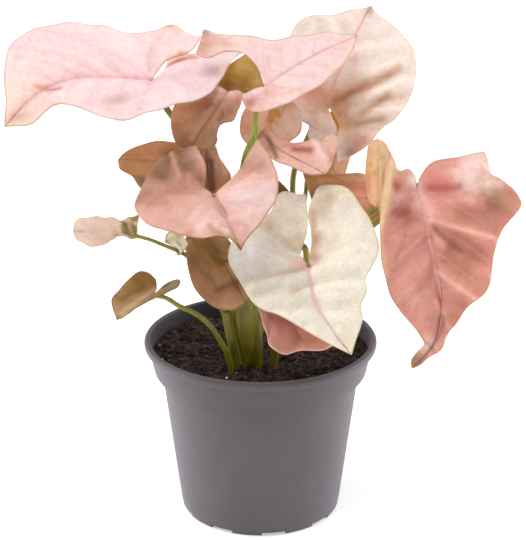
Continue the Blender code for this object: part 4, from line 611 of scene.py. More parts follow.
def make_mesh(name, vertices, faces, colors=None):
    """A piece from points in mm, with a colour for each point as the attribute "tint"."""
    mesh = bpy.data.meshes.new(name)
    mesh.from_pydata((np.asarray(vertices) * MM).tolist(), [], [tuple(map(int, f)) for f in faces])
    if colors is not None:
        layer = mesh.color_attributes.new("tint", "FLOAT_COLOR", "POINT")
        values = np.concatenate([colors, np.ones((len(colors), 1))], axis=1)
        layer.data.foreach_set("color", values.astype(np.float32).ravel())
    mesh.shade_smooth()
    made = bpy.data.objects.new(name, mesh)
    bpy.context.scene.collection.objects.link(made)
    return made


class Blade:
    """A leaf's own axes, and its fine middle surface: two halves of rows from the midrib outwards."""

    def __init__(self, leaf):
        self.leaf = leaf
        self.junction = np.array(leaf["junction"], float)
        reach = np.array(leaf["tip"], float) - self.junction
        self.length = np.linalg.norm(reach)
        self.along = reach / self.length
        face = np.array(leaf["face"], float)
        self.up = unit(face - (face @ self.along) * self.along)
        self.across = np.cross(self.up, self.along)
        margins = [path_length([(self.length, 0)] + leaf[key]["margin"]) for key in ("left", "right")]
        self.rib_steps = max(12, int(sum(margins) / 2 / BLADE_CELL))
        lobes = [path_length(leaf[key]["margin"][-1:] + leaf[key]["lobe"]) for key in ("left", "right")]
        self.lobe_steps = max(6, int(max(lobes) / BLADE_CELL))
        widest = max(across for key in ("left", "right") for _, across in leaf[key]["margin"])
        self.columns = int(np.clip(widest / BLADE_CELL, 8, 44))
        self.rows = self.rib_steps + self.lobe_steps

    def rise(self, a):
        """How far the bowed midrib stands above the straight line from junction to tip."""
        share = a / self.length
        front = 4 * share * (1 - np.clip(share, -1.0, 1.3))
        back = 4 * share / (1 + 2 * np.abs(share))
        return self.leaf["rise"] * np.where(share > 0, front, back)

    def place(self, points, side, fold):
        """World points for (along, across) points on one half; side is 1 for left and -1 for right."""
        a, b = np.asarray(points, float).T
        lift = b * math.sin(fold) + self.rise(a)
        flat = np.outer(a, self.along) + np.outer(b * math.cos(fold) * side, self.across)
        return self.junction + flat + np.outer(lift, self.up)

    def half(self, key):
        """One half: its points, their (along, across) places and their share of the way to the margin."""
        side = 1 if key == "left" else -1
        fold = math.radians(self.leaf["fold"][0 if key == "left" else 1])
        outline = self.leaf[key]
        tip, foot = (self.length, 0.0), (0.0, 0.0)
        rib = spaced(smooth_path([tip] + self.leaf["midrib"] + [foot]), self.rib_steps)
        notch = spaced(smooth_path([foot] + outline["notch"][::-1] + outline["lobe"][-1:]), self.lobe_steps)[1:]
        edge = smooth_path([tip] + outline["margin"] + outline["lobe"])
        widest = int(np.argmin(np.linalg.norm(edge - outline["margin"][-1], axis=1)))
        edge = np.vstack([spaced(edge[:widest + 1], self.rib_steps),
                          spaced(edge[widest:], self.lobe_steps)[1:]])
        inner = np.vstack([self.place(rib, 1, 0.0), self.place(notch, side, fold)])
        outer = self.place(edge, side, fold)
        half_up = math.cos(fold) * self.up - side * math.sin(fold) * self.across
        width = np.linalg.norm(outer - inner, axis=1)
        swell = self.leaf["belly"] * np.minimum(width / 20.0, 1.0)
        shares = np.linspace(0.0, 1.0, self.columns + 1)
        s = shares[None, :, None]
        points = inner[:, None] * (1 - s) + outer[:, None] * s
        points = points + (4 * s * (1 - s)) * swell[:, None, None] * half_up
        flat_inner = np.vstack([rib, notch * (1, side)])
        flat = flat_inner[:, None] * (1 - s) + (edge * (1, side))[:, None] * s
        travelled = np.concatenate([[0.0], np.cumsum(np.linalg.norm(np.diff(outer, axis=0), axis=1))])
        return points, flat, width, travelled


class Sheet:
    """A blade's middle surface as one list of points, with the places that colours and veins go by."""

    def __init__(self, leaf):
        self.blade = blade = Blade(leaf)
        self.halves = {}
        count = 0
        points, flat, share, rim, wave_arc, side_of = [], [], [], [], [], []
        faces = []
        rib_numbers = None
        for key in ("left", "right"):
            grid, places, width, travelled = blade.half(key)
            rows, columns = grid.shape[0], grid.shape[1]
            numbers = np.full((rows, columns), -1)
            if rib_numbers is not None:
                numbers[:blade.rib_steps + 1, 0] = rib_numbers
            numbers[0, :] = rib_numbers[0] if rib_numbers is not None else count
            if rib_numbers is None:
                count += 1
                points.append(grid[0, 0]), flat.append(places[0, 0]), share.append(0.0)
                rim.append(0.0), wave_arc.append(0.0), side_of.append(1)
            for row in range(1, rows):
                for column in range(columns):
                    if numbers[row, column] >= 0:
                        continue
                    if row == rows - 1 and column > 0:
                        numbers[row, column] = numbers[row, 0]
                        continue
                    numbers[row, column] = count
                    count += 1
                    s = column / (columns - 1)
                    points.append(grid[row, column])
                    flat.append(places[row, column])
                    share.append(s)
                    to_margin = (1 - s) * width[row]
                    to_notch = s * width[row] if row > blade.rib_steps else 99.0
                    to_tip = travelled[row] * 0.8
                    to_lobe = (travelled[-1] - travelled[row]) * 0.8
                    rim.append(min(to_margin, to_notch, to_tip, to_lobe) if row < rows - 1 else 0.0)
                    wave_arc.append(travelled[row])
                    side_of.append(1 if key == "left" else -1)
            if rib_numbers is None:
                rib_numbers = numbers[:blade.rib_steps + 1, 0].copy()
            self.halves[key] = numbers
            a, b = numbers[:-1, :-1].ravel(), numbers[:-1, 1:].ravel()
            c, d = numbers[1:, 1:].ravel(), numbers[1:, :-1].ravel()
            quads = np.stack([a, b, c, d] if key == "left" else [d, c, b, a], axis=1)
            for quad in quads:
                corners = list(dict.fromkeys(quad.tolist()))
                if len(corners) > 2:
                    faces.append(corners)
        self.points = np.array(points)
        self.flat = np.array(flat)
        self.share = np.array(share)
        self.rim = np.array(rim)
        self.arc = np.array(wave_arc)
        self.side = np.array(side_of)
        self.faces = faces

    def normals(self):
        total = np.zeros_like(self.points)
        for corners in self.faces:
            p = self.points[corners]
            normal = np.cross(p[1] - p[0], p[2] - p[0])
            if len(corners) == 4:
                normal = np.cross(p[2] - p[0], p[3] - p[1])
            total[corners] += normal
        return total / np.maximum(np.linalg.norm(total, axis=1, keepdims=True), 1e-12)

    def at(self, values, key, row, share):
        """A value of the sheet between its rows and columns."""
        numbers = self.halves[key]
        row = min(max(row, 0.0), numbers.shape[0] - 1.001)
        column = min(max(share, 0.0), 0.999) * (numbers.shape[1] - 1)
        r, c = int(row), int(column)
        u, v = row - r, column - c
        top = values[numbers[r, c]] * (1 - v) + values[numbers[r, c + 1]] * v
        low = values[numbers[r + 1, c]] * (1 - v) + values[numbers[r + 1, c + 1]] * v
        return top * (1 - u) + low * u

    def veins(self, laterals, lean):
        """Sampled veins as (place, strength, width): the midrib, and the side veins of each half."""
        blade = self.blade
        steps = blade.rib_steps
        rib_places = self.flat[self.halves["left"][:steps + 1, 0]]
        ribs = []
        for row in range(steps + 1):
            thick = 0.35 + 0.65 * row / steps
            ribs.append((rib_places[row], 1.0, 0.85 * thick))
        sides = {}
        for key, side in (("left", 1), ("right", -1)):
            found = []
            for k in range(laterals):
                share = (k + 0.12) / laterals
                row = steps * (1 - 0.96 * share)
                start = self.at(self.flat, "left", row, 0.0)
                heading = math.radians(lean + 16 - 30 * share)
                bend = math.radians(-28)
                weight = 1 - 0.5 * share
                found += vein_line(start, heading * side, bend * side, blade.length * 0.8, weight, 0.75 * weight)
            trunk = []
            for t in np.linspace(0.0, 1.0, 80):
                row = steps + blade.lobe_steps * 0.93 * t
                trunk.append(self.at(self.flat, key, row, 0.5 * min(1.0, 2.6 * t) * (1 - 0.2 * t)))
                found.append((trunk[-1], 1 - 0.6 * t, 0.8 * (1 - 0.5 * t)))
            for k in range(3):
                place = 14 + 20 * k
                onward = unit(trunk[place + 4] - trunk[place - 4])
                row = steps + blade.lobe_steps * 0.93 * place / 79
                outward = self.at(self.flat, key, row, 0.9) - trunk[place]
                if np.linalg.norm(outward) < 2.0:
                    continue
                start = unit(onward * 0.7 + unit(outward) * 0.8)
                heading = math.atan2(start[1], start[0])
                found += vein_line(trunk[place], heading, 0.0, np.linalg.norm(outward) * 1.2, 0.6, 0.5)
            sides[key] = found
        return ribs, sides


def vein_line(start, heading, bend, length, strength, width):
    """Samples along a bowed line that leaves its start at an angle from the midrib's direction."""
    samples = []
    place = np.array(start, float)
    steps = max(8, int(length / 0.4))
    for k in range(steps):
        t = k / steps
        samples.append((place.copy(), strength * (1 - 0.6 * t), width * (1 - 0.35 * t)))
        angle = heading + bend * t
        place += length / steps * np.array([math.cos(angle), math.sin(angle)])
    return samples


def nearest(samples, places):
    """For each place: the distance to the nearest sample, and that sample's strength and width."""
    tree = KDTree(len(samples))
    for k, (place, _, _) in enumerate(samples):
        tree.insert((place[0], place[1], 0.0), k)
    tree.balance()
    found = [tree.find((a, b, 0.0)) for a, b in places]
    number = np.array([f[1] for f in found])
    return (np.array([f[2] for f in found]), np.array([s[1] for s in samples])[number],
            np.array([s[2] for s in samples])[number])


def vein_mask(samples, places):
    distance, strength, width = nearest(samples, places)
    return strength * np.exp(-(distance / width) ** 2), distance


def stroke_distance(places, start, end):
    """Distance of each leaf place from a line between two places."""
    start, end = np.array(start, float), np.array(end, float)
    reach = end - start
    share = np.clip((places - start) @ reach / (reach @ reach), 0.0, 1.0)
    return np.linalg.norm(places - start - share[:, None] * reach, axis=1)


def make_leaf(name, leaf, look, seed):
    """A fine blade: veined, waved and swelling between its veins, thin at its rim, with painted shade in its hollows
    and painted highlight on its ridges.
    """
    sheet = Sheet(leaf)
    ribs, sides = sheet.veins(look["laterals"], look.get("lean", 52))
    rib_mask, rib_distance = vein_mask(ribs, sheet.flat)
    side_mask = np.zeros(len(sheet.points))
    side_distance = np.full(len(sheet.points), 99.0)
    for key, side in (("left", 1), ("right", -1)):
        half = sheet.side == side
        side_mask[half], side_distance[half] = vein_mask(sides[key], sheet.flat[half])
    side_mask *= smooth_step(sheet.rim, 0.6, 4.0)
    near = np.minimum(rib_distance, side_distance)
    inside = smooth_step(sheet.rim, 0.0, 5.0)
    up = sheet.normals()
    quilt = look["quilt"] * ((1 - np.exp(-(near / 4.0) ** 2)) - 0.5) * inside
    folds = np.zeros(len(sheet.points))
    for start, end, width, height in look.get("folds", []):
        ragged = 1 + 0.3 * soft_noise(sheet.points, 9.0, seed + 5)
        folds += height * np.exp(-(stroke_distance(sheet.flat, start, end) / (width * ragged)) ** 2)
    margin = smooth_step(sheet.share, 0.45, 1.0)
    wave = look["wave"] * np.sin(sheet.arc / look.get("ripple", 19.0) * 2 * math.pi + seed * 1.7) * margin
    crumple = soft_noise(sheet.points, 13.0, seed) + 0.4 * soft_noise(sheet.points, 5.0, seed + 1)
    relief = quilt - 0.3 * rib_mask - 0.2 * side_mask
    sheet.points = sheet.points + up * (relief + folds + wave + 0.5 * look["quilt"] * crumple * inside)[:, None]
    up = sheet.normals()

    half_thick = LEAF_THICKNESS / 2 * (0.45 + 0.55 * smooth_step(sheet.rim, 0.0, 2.0))
    keel = (1.1 * rib_mask + 0.25 * side_mask) * smooth_step(sheet.rim, 0.0, 3.0)
    top = sheet.points + up * half_thick[:, None]
    low = sheet.points - up * (half_thick + keel)[:, None]

    colors = np.tile(rgb(look["base"]), (len(sheet.points), 1))
    for along, across, radius, color, amount in look["patches"]:
        distance = np.linalg.norm(sheet.flat - (along, across), axis=1)
        ragged = 1 + 0.35 * soft_noise(sheet.points, radius * 0.6, seed + 3)
        colors = mix(colors, rgb(color), amount * np.exp(-(distance / (radius * ragged)) ** 2))
    for along, across, radius, color, amount in look.get("spots", []):
        distance = np.linalg.norm(sheet.flat - (along, across), axis=1)
        ragged = radius * (1 + 0.3 * soft_noise(sheet.points, radius, seed + 6))
        colors = mix(colors, rgb(color), amount * smooth_step(ragged - distance, -0.7, 0.7))
    for start, end, radius, color, amount in look["strokes"]:
        distance = stroke_distance(sheet.flat, start, end)
        colors = mix(colors, rgb(color), amount * np.exp(-(distance / radius) ** 2))
    colors = mix(colors, rgb(look["vein"]), look.get("veined", 0.4) * side_mask)
    colors = mix(colors, rgb(look.get("rib", look["vein"])), look.get("ribbed", 0.8) * rib_mask)
    # Painted shade and highlight: the colour is darkened in the hollows and creases of the relief and lightened on its
    # ridges.
    relief_shade_and_highlight = np.clip((relief + folds) / 1.5, -1.0, 1.0)
    colors = colors * (1 + look.get("relief_shading", 0.12) * relief_shade_and_highlight)[:, None]
    colors = mix(colors, rgb(look["rim"]), 0.8 * (1 - smooth_step(sheet.rim, 0.1, 1.1)))
    under = mix(colors, rgb(look.get("under", (205, 185, 150))), np.full(len(colors), 0.3)) * 0.92

    count = len(sheet.points)
    faces = list(sheet.faces) + [[c + count for c in corners[::-1]] for corners in sheet.faces]
    edges = {}
    for corners in sheet.faces:
        for a, b in zip(corners, corners[1:] + corners[:1]):
            edges[(a, b)] = True
    faces += [[b, a, a + count, b + count] for a, b in edges if (b, a) not in edges]
    blade = make_mesh(name.replace("leaf_", "blade_"), np.vstack([top, low]), faces, np.vstack([colors, under]))
    blade.data.materials.append(leaf_material(name, seed))
    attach(blade, "root")
    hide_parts(name)
    return blade


def new_material(name):
    made = bpy.data.materials.new(name)
    made.use_nodes = True
    nodes, links = made.node_tree.nodes, made.node_tree.links
    shader = nodes["Principled BSDF"]
    return made, nodes, links, shader


def noise_node(nodes, links, coordinates, scale, detail=3.0, roughness=0.5):
    made = nodes.new("ShaderNodeTexNoise")
    made.inputs["Scale"].default_value = scale
    made.inputs["Detail"].default_value = detail
    made.inputs["Roughness"].default_value = roughness
    links.new(coordinates, made.inputs["Vector"])
    return made.outputs["Fac"]


def ramp_node(nodes, links, value, low, high, low_value, high_value):
    """A value taken from one range to another."""
    made = nodes.new("ShaderNodeMapRange")
    made.inputs["From Min"].default_value = low
    made.inputs["From Max"].default_value = high
    made.inputs["To Min"].default_value = low_value
    made.inputs["To Max"].default_value = high_value
    links.new(value, made.inputs["Value"])
    return made.outputs["Result"]


def mix_node(nodes, links, amount, first, second, blend="MIX"):
    """Two colours mixed; each is a socket or a plain colour."""
    made = nodes.new("ShaderNodeMix")
    made.data_type = "RGBA"
    made.blend_type = blend
    for value, socket in ((amount, made.inputs[0]), (first, made.inputs[6]), (second, made.inputs[7])):
        if isinstance(value, bpy.types.NodeSocket):
            links.new(value, socket)
        elif isinstance(value, float):
            socket.default_value = value
        else:
            socket.default_value = (*value, 1.0)
    return made.outputs[2]


def bump_node(nodes, links, height, distance, strength=1.0, after=None):
    made = nodes.new("ShaderNodeBump")
    made.inputs["Distance"].default_value = distance
    made.inputs["Strength"].default_value = strength
    links.new(height, made.inputs["Height"])
    if after is not None:
        links.new(after, made.inputs["Normal"])
    return made.outputs["Normal"]


def tinted(nodes, links):
    """The colour painted on the mesh, and the coordinates in metres."""
    color = nodes.new("ShaderNodeAttribute")
    color.attribute_name = "tint"
    place = nodes.new("ShaderNodeTexCoord")
    return color.outputs["Color"], place.outputs["Object"]


def leaf_material(name, seed):
    """Waxy leaf skin: mottled and finely speckled colour, light through the blade, tiny cells in the gloss."""
    made, nodes, links, shader = new_material(name.replace("leaf_", "skin_"))
    color, place = tinted(nodes, links)
    cloudy = noise_node(nodes, links, place, 160.0 + 7 * seed, 4.0, 0.6)
    blotch = noise_node(nodes, links, place, 420.0 + 11 * seed, 4.0, 0.65)
    hue = noise_node(nodes, links, place, 95.0 + 3 * seed, 3.0, 0.6)
    speckle = noise_node(nodes, links, place, 1400.0, 2.0, 0.6)
    darker = mix_node(nodes, links, 1.0, color, (0.85, 0.79, 0.77), "MULTIPLY")
    paler = mix_node(nodes, links, 1.0, color, (1.05, 1.08, 1.08), "MULTIPLY")
    yellower = mix_node(nodes, links, 1.0, color, (0.98, 0.98, 0.91), "MULTIPLY")
    color = mix_node(nodes, links, ramp_node(nodes, links, hue, 0.48, 0.7, 0.0, 0.6), color, yellower)
    color = mix_node(nodes, links, ramp_node(nodes, links, cloudy, 0.42, 0.72, 0.0, 0.6), color, darker)
    color = mix_node(nodes, links, ramp_node(nodes, links, blotch, 0.5, 0.68, 0.0, 0.6), color, darker)
    color = mix_node(nodes, links, ramp_node(nodes, links, blotch, 0.32, 0.48, 0.6, 0.0), color, paler)
    color = mix_node(nodes, links, ramp_node(nodes, links, speckle, 0.55, 0.8, 0.0, 0.35), color, darker)
    links.new(color, shader.inputs["Base Color"])
    links.new(ramp_node(nodes, links, cloudy, 0.3, 0.7, 0.4, 0.54), shader.inputs["Roughness"])
    shader.inputs["Specular IOR Level"].default_value = 0.35
    shader.inputs["Subsurface Weight"].default_value = 0.3
    shader.inputs["Subsurface Radius"].default_value = (1.0, 0.55, 0.4)
    shader.inputs["Subsurface Scale"].default_value = 0.0025
    cells = nodes.new("ShaderNodeTexVoronoi")
    cells.inputs["Scale"].default_value = 1500.0
    links.new(place, cells.inputs["Vector"])
    skin = bump_node(nodes, links, cells.outputs["Distance"], 0.00003, 0.5)
    links.new(bump_node(nodes, links, cloudy, 0.0003, 0.5, skin), shader.inputs["Normal"])
    return made


def tube_rings(points, radii, sides, flute=0.0, ridges=0.0):
    """Rings of points round a path; flute presses a channel into one side, ridges raise seven ribs."""
    side = None
    rings = []
    for k, point in enumerate(points):
        direction = unit(points[min(k + 1, len(points) - 1)] - points[max(k - 1, 0)])
        if side is None:
            side = np.cross(direction, (0.0, 1.0, 0.0))
        side = unit(side - (side @ direction) * direction)
        other = np.cross(direction, side)
        turn = 2 * math.pi * np.arange(sides) / sides
        pressed = 1 - flute * np.exp(-((turn - math.pi / 2) / 0.5) ** 2) + ridges * np.cos(7 * turn)
        ring = point + (radii[k] * pressed)[:, None] * (np.outer(np.cos(turn), side) + np.outer(np.sin(turn), other))
        rings.append(ring)
    return np.array(rings)


def ring_faces(count, sides, start=0):
    """Faces of a closed tube of rings."""
    faces = [[start + k for k in range(sides)][::-1]]
    for ring in range(count - 1):
        low = start + ring * sides
        for k in range(sides):
            after = (k + 1) % sides
            faces.append([low + k, low + after, low + sides + after, low + sides + k])
    faces.append([start + (count - 1) * sides + k for k in range(sides)])
    return faces


def stalk_path(leaf):
    """From the blade's junction down to the crown."""
    blade = Blade(leaf)
    foot_radius, top_radius, points = leaf["stalk"]
    clear = BLADE_THICKNESS / 2 + GAP + top_radius * 0.8
    under = blade.junction - blade.up * clear
    path = smooth_path([tuple(under)] + points)
    path = spaced(path, max(8, int(path_length(path) / STALK_SPACING)))
    touch = blade.junction - blade.up * 0.3
    path = np.vstack([touch, path])[::-1]
    radii = np.linspace(foot_radius, top_radius, len(path))
    radii[-1] *= 0.8
    return path, radii


STALK_TONES = ((0.0, (122, 112, 4)), (0.5, (130, 122, 20)), (1.0, (146, 140, 44)))


def make_stems(name, shoots):
    """One cutting: its shoots and stalks grown together into one skin."""
    vertices, faces, spine = [], [], []
    for path in shoots:
        rounded = smooth_path([p[:3] for p in path[1:]], 8)
        radii = smooth_path([(p[2], 0.0, p[3]) for p in path[1:]], 8)[:, 2]
        points = np.vstack([path[0][:3], rounded])
        radii = np.concatenate([[path[0][3]], radii])
        rings = tube_rings(points, radii, 28, ridges=0.06)
        faces += ring_faces(len(rings), 28, len(vertices))
        vertices += list(rings.reshape(-1, 3))
        spine += [(p, rgb((120, 112, 2))) for p in points]
    for leaf_name, leaf in LEAVES.items():
        if leaf["stems"] != name:
            continue
        path, radii = stalk_path(leaf)
        rings = tube_rings(path, radii, STALK_SIDES, 0.2)
        faces += ring_faces(len(rings), STALK_SIDES, len(vertices))
        vertices += list(rings.reshape(-1, 3))
        places, tones = zip(*LOOKS[leaf_name].get("stalk", STALK_TONES))
        tones = np.array([rgb(tone) for tone in tones])
        for share, point in zip(np.linspace(0.0, 1.0, len(path)), path):
            spine.append((point, np.array([np.interp(share, places, tones[:, k]) for k in range(3)])))
    body = make_mesh("bundle", vertices, faces)
    remesh = body.modifiers.new("skin", "REMESH")
    remesh.mode = "VOXEL"
    remesh.voxel_size = 0.55 * MM
    smooth = body.modifiers.new("even", "SMOOTH")
    smooth.iterations = 4
    smooth.factor = 0.5
    bpy.context.view_layer.update()
    skin = bpy.data.meshes.new_from_object(body.evaluated_get(bpy.context.evaluated_depsgraph_get()))
    bpy.data.objects.remove(body, do_unlink=True)
    points = np.empty(len(skin.vertices) * 3)
    skin.vertices.foreach_get("co", points)
    points = points.reshape(-1, 3) / MM
    tree = KDTree(len(spine))
    for k, (place, _) in enumerate(spine):
        tree.insert(Vector(place), k)
    tree.balance()
    shades = np.array([color for _, color in spine])
    colors = shades[[tree.find(Vector(p))[1] for p in points]]
    quads = [list(polygon.vertices) for polygon in skin.polygons]
    made = make_mesh(name.replace("stems_", "stalks_"), points, quads, colors)
    made.data.materials.append(stem_material(name))
    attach(made, "root")
    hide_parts(name)
    return made


def stem_material(name):
    """Fresh green stem: streaks along it, a waxy gloss."""
    made, nodes, links, shader = new_material(name.replace("stems_", "stem_skin_"))
    color, place = tinted(nodes, links)
    stretch = nodes.new("ShaderNodeMapping")
    stretch.inputs["Scale"].default_value = (1.0, 1.0, 0.12)
    links.new(place, stretch.inputs["Vector"])
    streaks = noise_node(nodes, links, stretch.outputs["Vector"], 1100.0, 4.0, 0.6)
    bands = noise_node(nodes, links, stretch.outputs["Vector"], 330.0, 3.0, 0.6)
    cloudy = noise_node(nodes, links, place, 150.0, 3.0, 0.6)
    paler = mix_node(nodes, links, 1.0, color, (1.4, 1.38, 1.5), "MULTIPLY")
    darker = mix_node(nodes, links, 1.0, color, (0.5, 0.52, 0.35), "MULTIPLY")
    color = mix_node(nodes, links, ramp_node(nodes, links, streaks, 0.45, 0.7, 0.0, 0.5), color, paler)
    color = mix_node(nodes, links, ramp_node(nodes, links, bands, 0.48, 0.62, 0.0, 0.65), color, darker)
    color = mix_node(nodes, links, ramp_node(nodes, links, cloudy, 0.45, 0.75, 0.0, 0.5), color, darker)
    links.new(color, shader.inputs["Base Color"])
    shader.inputs["Roughness"].default_value = 0.42
    shader.inputs["Subsurface Weight"].default_value = 0.15
    shader.inputs["Subsurface Radius"].default_value = (0.6, 1.0, 0.3)
    shader.inputs["Subsurface Scale"].default_value = 0.001
    links.new(bump_node(nodes, links, streaks, 0.0002, 0.6), shader.inputs["Normal"])
    return made


def turned_rings(profile, sides):
    """Points and faces of a closed body of revolution; its profile's ends lie on the axis."""
    rings = profile[1:-1]
    turn = 2 * math.pi * np.arange(sides) / sides
    circle = np.stack([np.cos(turn), np.sin(turn)], axis=1)
    vertices = [(0.0, 0.0, profile[0][1])]
    for radius, height in rings:
        vertices += [(radius * x, radius * y, height) for x, y in circle]
    vertices.append((0.0, 0.0, profile[-1][1]))
    faces = []
    for k in range(sides):
        after = (k + 1) % sides
        faces.append([0, 1 + after, 1 + k])
        for ring in range(len(rings) - 1):
            low = 1 + ring * sides
            faces.append([low + k, low + after, low + sides + after, low + sides + k])
        top = 1 + (len(rings) - 1) * sides
        faces.append([len(vertices) - 1, top + k, top + after])
    return vertices, faces


def rounded(points, radius, steps=4):
    """A profile with each inner corner replaced by a small arc-like curve."""
    out = [points[0]]
    for before, corner, after in zip(points, points[1:], points[2:]):
        before, corner, after = (np.array(p, float) for p in (before, corner, after))
        back, ahead = np.linalg.norm(before - corner), np.linalg.norm(after - corner)
        cut = min(radius, back / 2.2, ahead / 2.2)
        start = corner + (before - corner) * cut / back
        end = corner + (after - corner) * cut / ahead
        for t in np.linspace(0.0, 1.0, steps + 1):
            out.append(tuple((1 - t) ** 2 * start + 2 * t * (1 - t) * corner + t ** 2 * end))
    out.append(points[-1])
    return out


def cut_away(target, cutters):
    """The target's mesh with the other closed objects cut out of it."""
    group = bpy.data.collections.new("cutters")
    bpy.context.scene.collection.children.link(group)
    for cutter in cutters:
        bpy.context.scene.collection.objects.unlink(cutter)
        group.objects.link(cutter)
    step = target.modifiers.new("cut", "BOOLEAN")
    step.operand_type = "COLLECTION"
    step.collection = group
    step.operation = "DIFFERENCE"
    step.solver = "EXACT"
    bpy.context.view_layer.update()
    result = bpy.data.meshes.new_from_object(target.evaluated_get(bpy.context.evaluated_depsgraph_get()))
    target.modifiers.clear()
    target.data = result
    for cutter in cutters:
        bpy.data.objects.remove(cutter, do_unlink=True)
    bpy.data.collections.remove(group)


def upright_prism(name, corners, low, high):
    count = len(corners)
    vertices = [(x, y, low) for x, y in corners] + [(x, y, high) for x, y in corners]
    faces = [list(range(count))[::-1], list(range(count, 2 * count))]
    faces += [[k, (k + 1) % count, count + (k + 1) % count, count + k] for k in range(count)]
    return make_mesh(name, vertices, faces)


def inner_wall(gap):
    """The pot's inner wall from the floor up to the soil line, moved in by a gap."""
    rim = RIM_DIAMETER / 2
    base = BASE_DIAMETER / 2
    collar_foot = POT_HEIGHT - COLLAR_HEIGHT
    inward = WALL + gap
    return [
        (base - inward - 1.0, FOOT_HEIGHT + FLOOR_THICKNESS + gap), (base - inward + 0.9, 7.0),
        (rim - BODY_TOP_IN - inward, collar_foot - 1.6 + gap),
        (rim - COLLAR_LOW_IN - inward, collar_foot + 1.2 + gap),
        (rim - COLLAR_TOP_IN - inward - 0.2, SOIL_LEVEL),
    ]


def make_pot():
    rim = RIM_DIAMETER / 2
    base = BASE_DIAMETER / 2
    collar_foot = POT_HEIGHT - COLLAR_HEIGHT
    body_top = rim - BODY_TOP_IN
    collar_top = rim - COLLAR_TOP_IN
    collar_low = rim - COLLAR_LOW_IN
    inside_floor = FOOT_HEIGHT + FLOOR_THICKNESS
    under = [(0, 0), (PAD_RADIUS, 0), (PAD_RADIUS + 1.5, FOOT_HEIGHT), (base - FOOT_WIDTH - 1.0, FOOT_HEIGHT),
             (base - FOOT_WIDTH, 0)]
    outside = [
        (base - 0.8, 0), (base, 0.9), (base + 0.9, 6), (body_top, collar_foot - 1.2),
        (collar_low - 0.8, collar_foot - 0.4), (collar_low, collar_foot + 0.8),
        (collar_top, POT_HEIGHT - LIP_DROP - 1.2), (rim - 0.4, POT_HEIGHT - LIP_DROP),
        (rim, POT_HEIGHT - 1.6), (rim - 0.7, POT_HEIGHT - 0.3), (rim - 1.8, POT_HEIGHT),
        (rim - 2.4, POT_HEIGHT - 0.45), (rim - LIP_WIDTH + 0.3, POT_HEIGHT - 0.05),
        (rim - LIP_WIDTH - 0.15, POT_HEIGHT - 0.5), (rim - LIP_WIDTH - 0.5, POT_HEIGHT - 2.4),
    ]
    profile = rounded(under + outside + inner_wall(0.0)[::-1] + [(0, inside_floor)], 0.8)
    vertices, faces = turned_rings(profile, POT_SIDES)
    pot = make_mesh("pot_shell", vertices, faces)
    cutters = []
    for k in range(DRAIN_HOLES):
        angle = 2 * math.pi * (k + 0.5) / DRAIN_HOLES
        middle = DRAIN_CIRCLE * np.array([math.cos(angle), math.sin(angle)])
        ring = [middle + DRAIN_RADIUS * np.array([math.cos(t), math.sin(t)])
                for t in np.linspace(0, 2 * math.pi, 24, endpoint=False)]
        cutters.append(upright_prism("drain", ring, 1.0, inside_floor + 1.0))
    for k in range(NOTCHES):
        middle = FIRST_NOTCH - 90 + 360 / NOTCHES * k
        corners = []
        for radius, part in ((base - FOOT_WIDTH - 2.0, -0.5), (base + 3.0, -0.5), (base + 3.0, 0.5),
                             (base - FOOT_WIDTH - 2.0, 0.5)):
            turn = math.radians(middle + part * NOTCH_ANGLE)
            corners.append((radius * math.cos(turn), radius * math.sin(turn)))
        cutters.append(upright_prism("notch", corners, -1.0, FOOT_HEIGHT - 0.05))
    cut_away(pot, cutters)
    pot.data.shade_smooth()
    pot.data.set_sharp_from_angle(angle=math.radians(40))
    pot.data.materials.append(pot_material())
    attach(pot, "root")
    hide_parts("pot")
    return pot


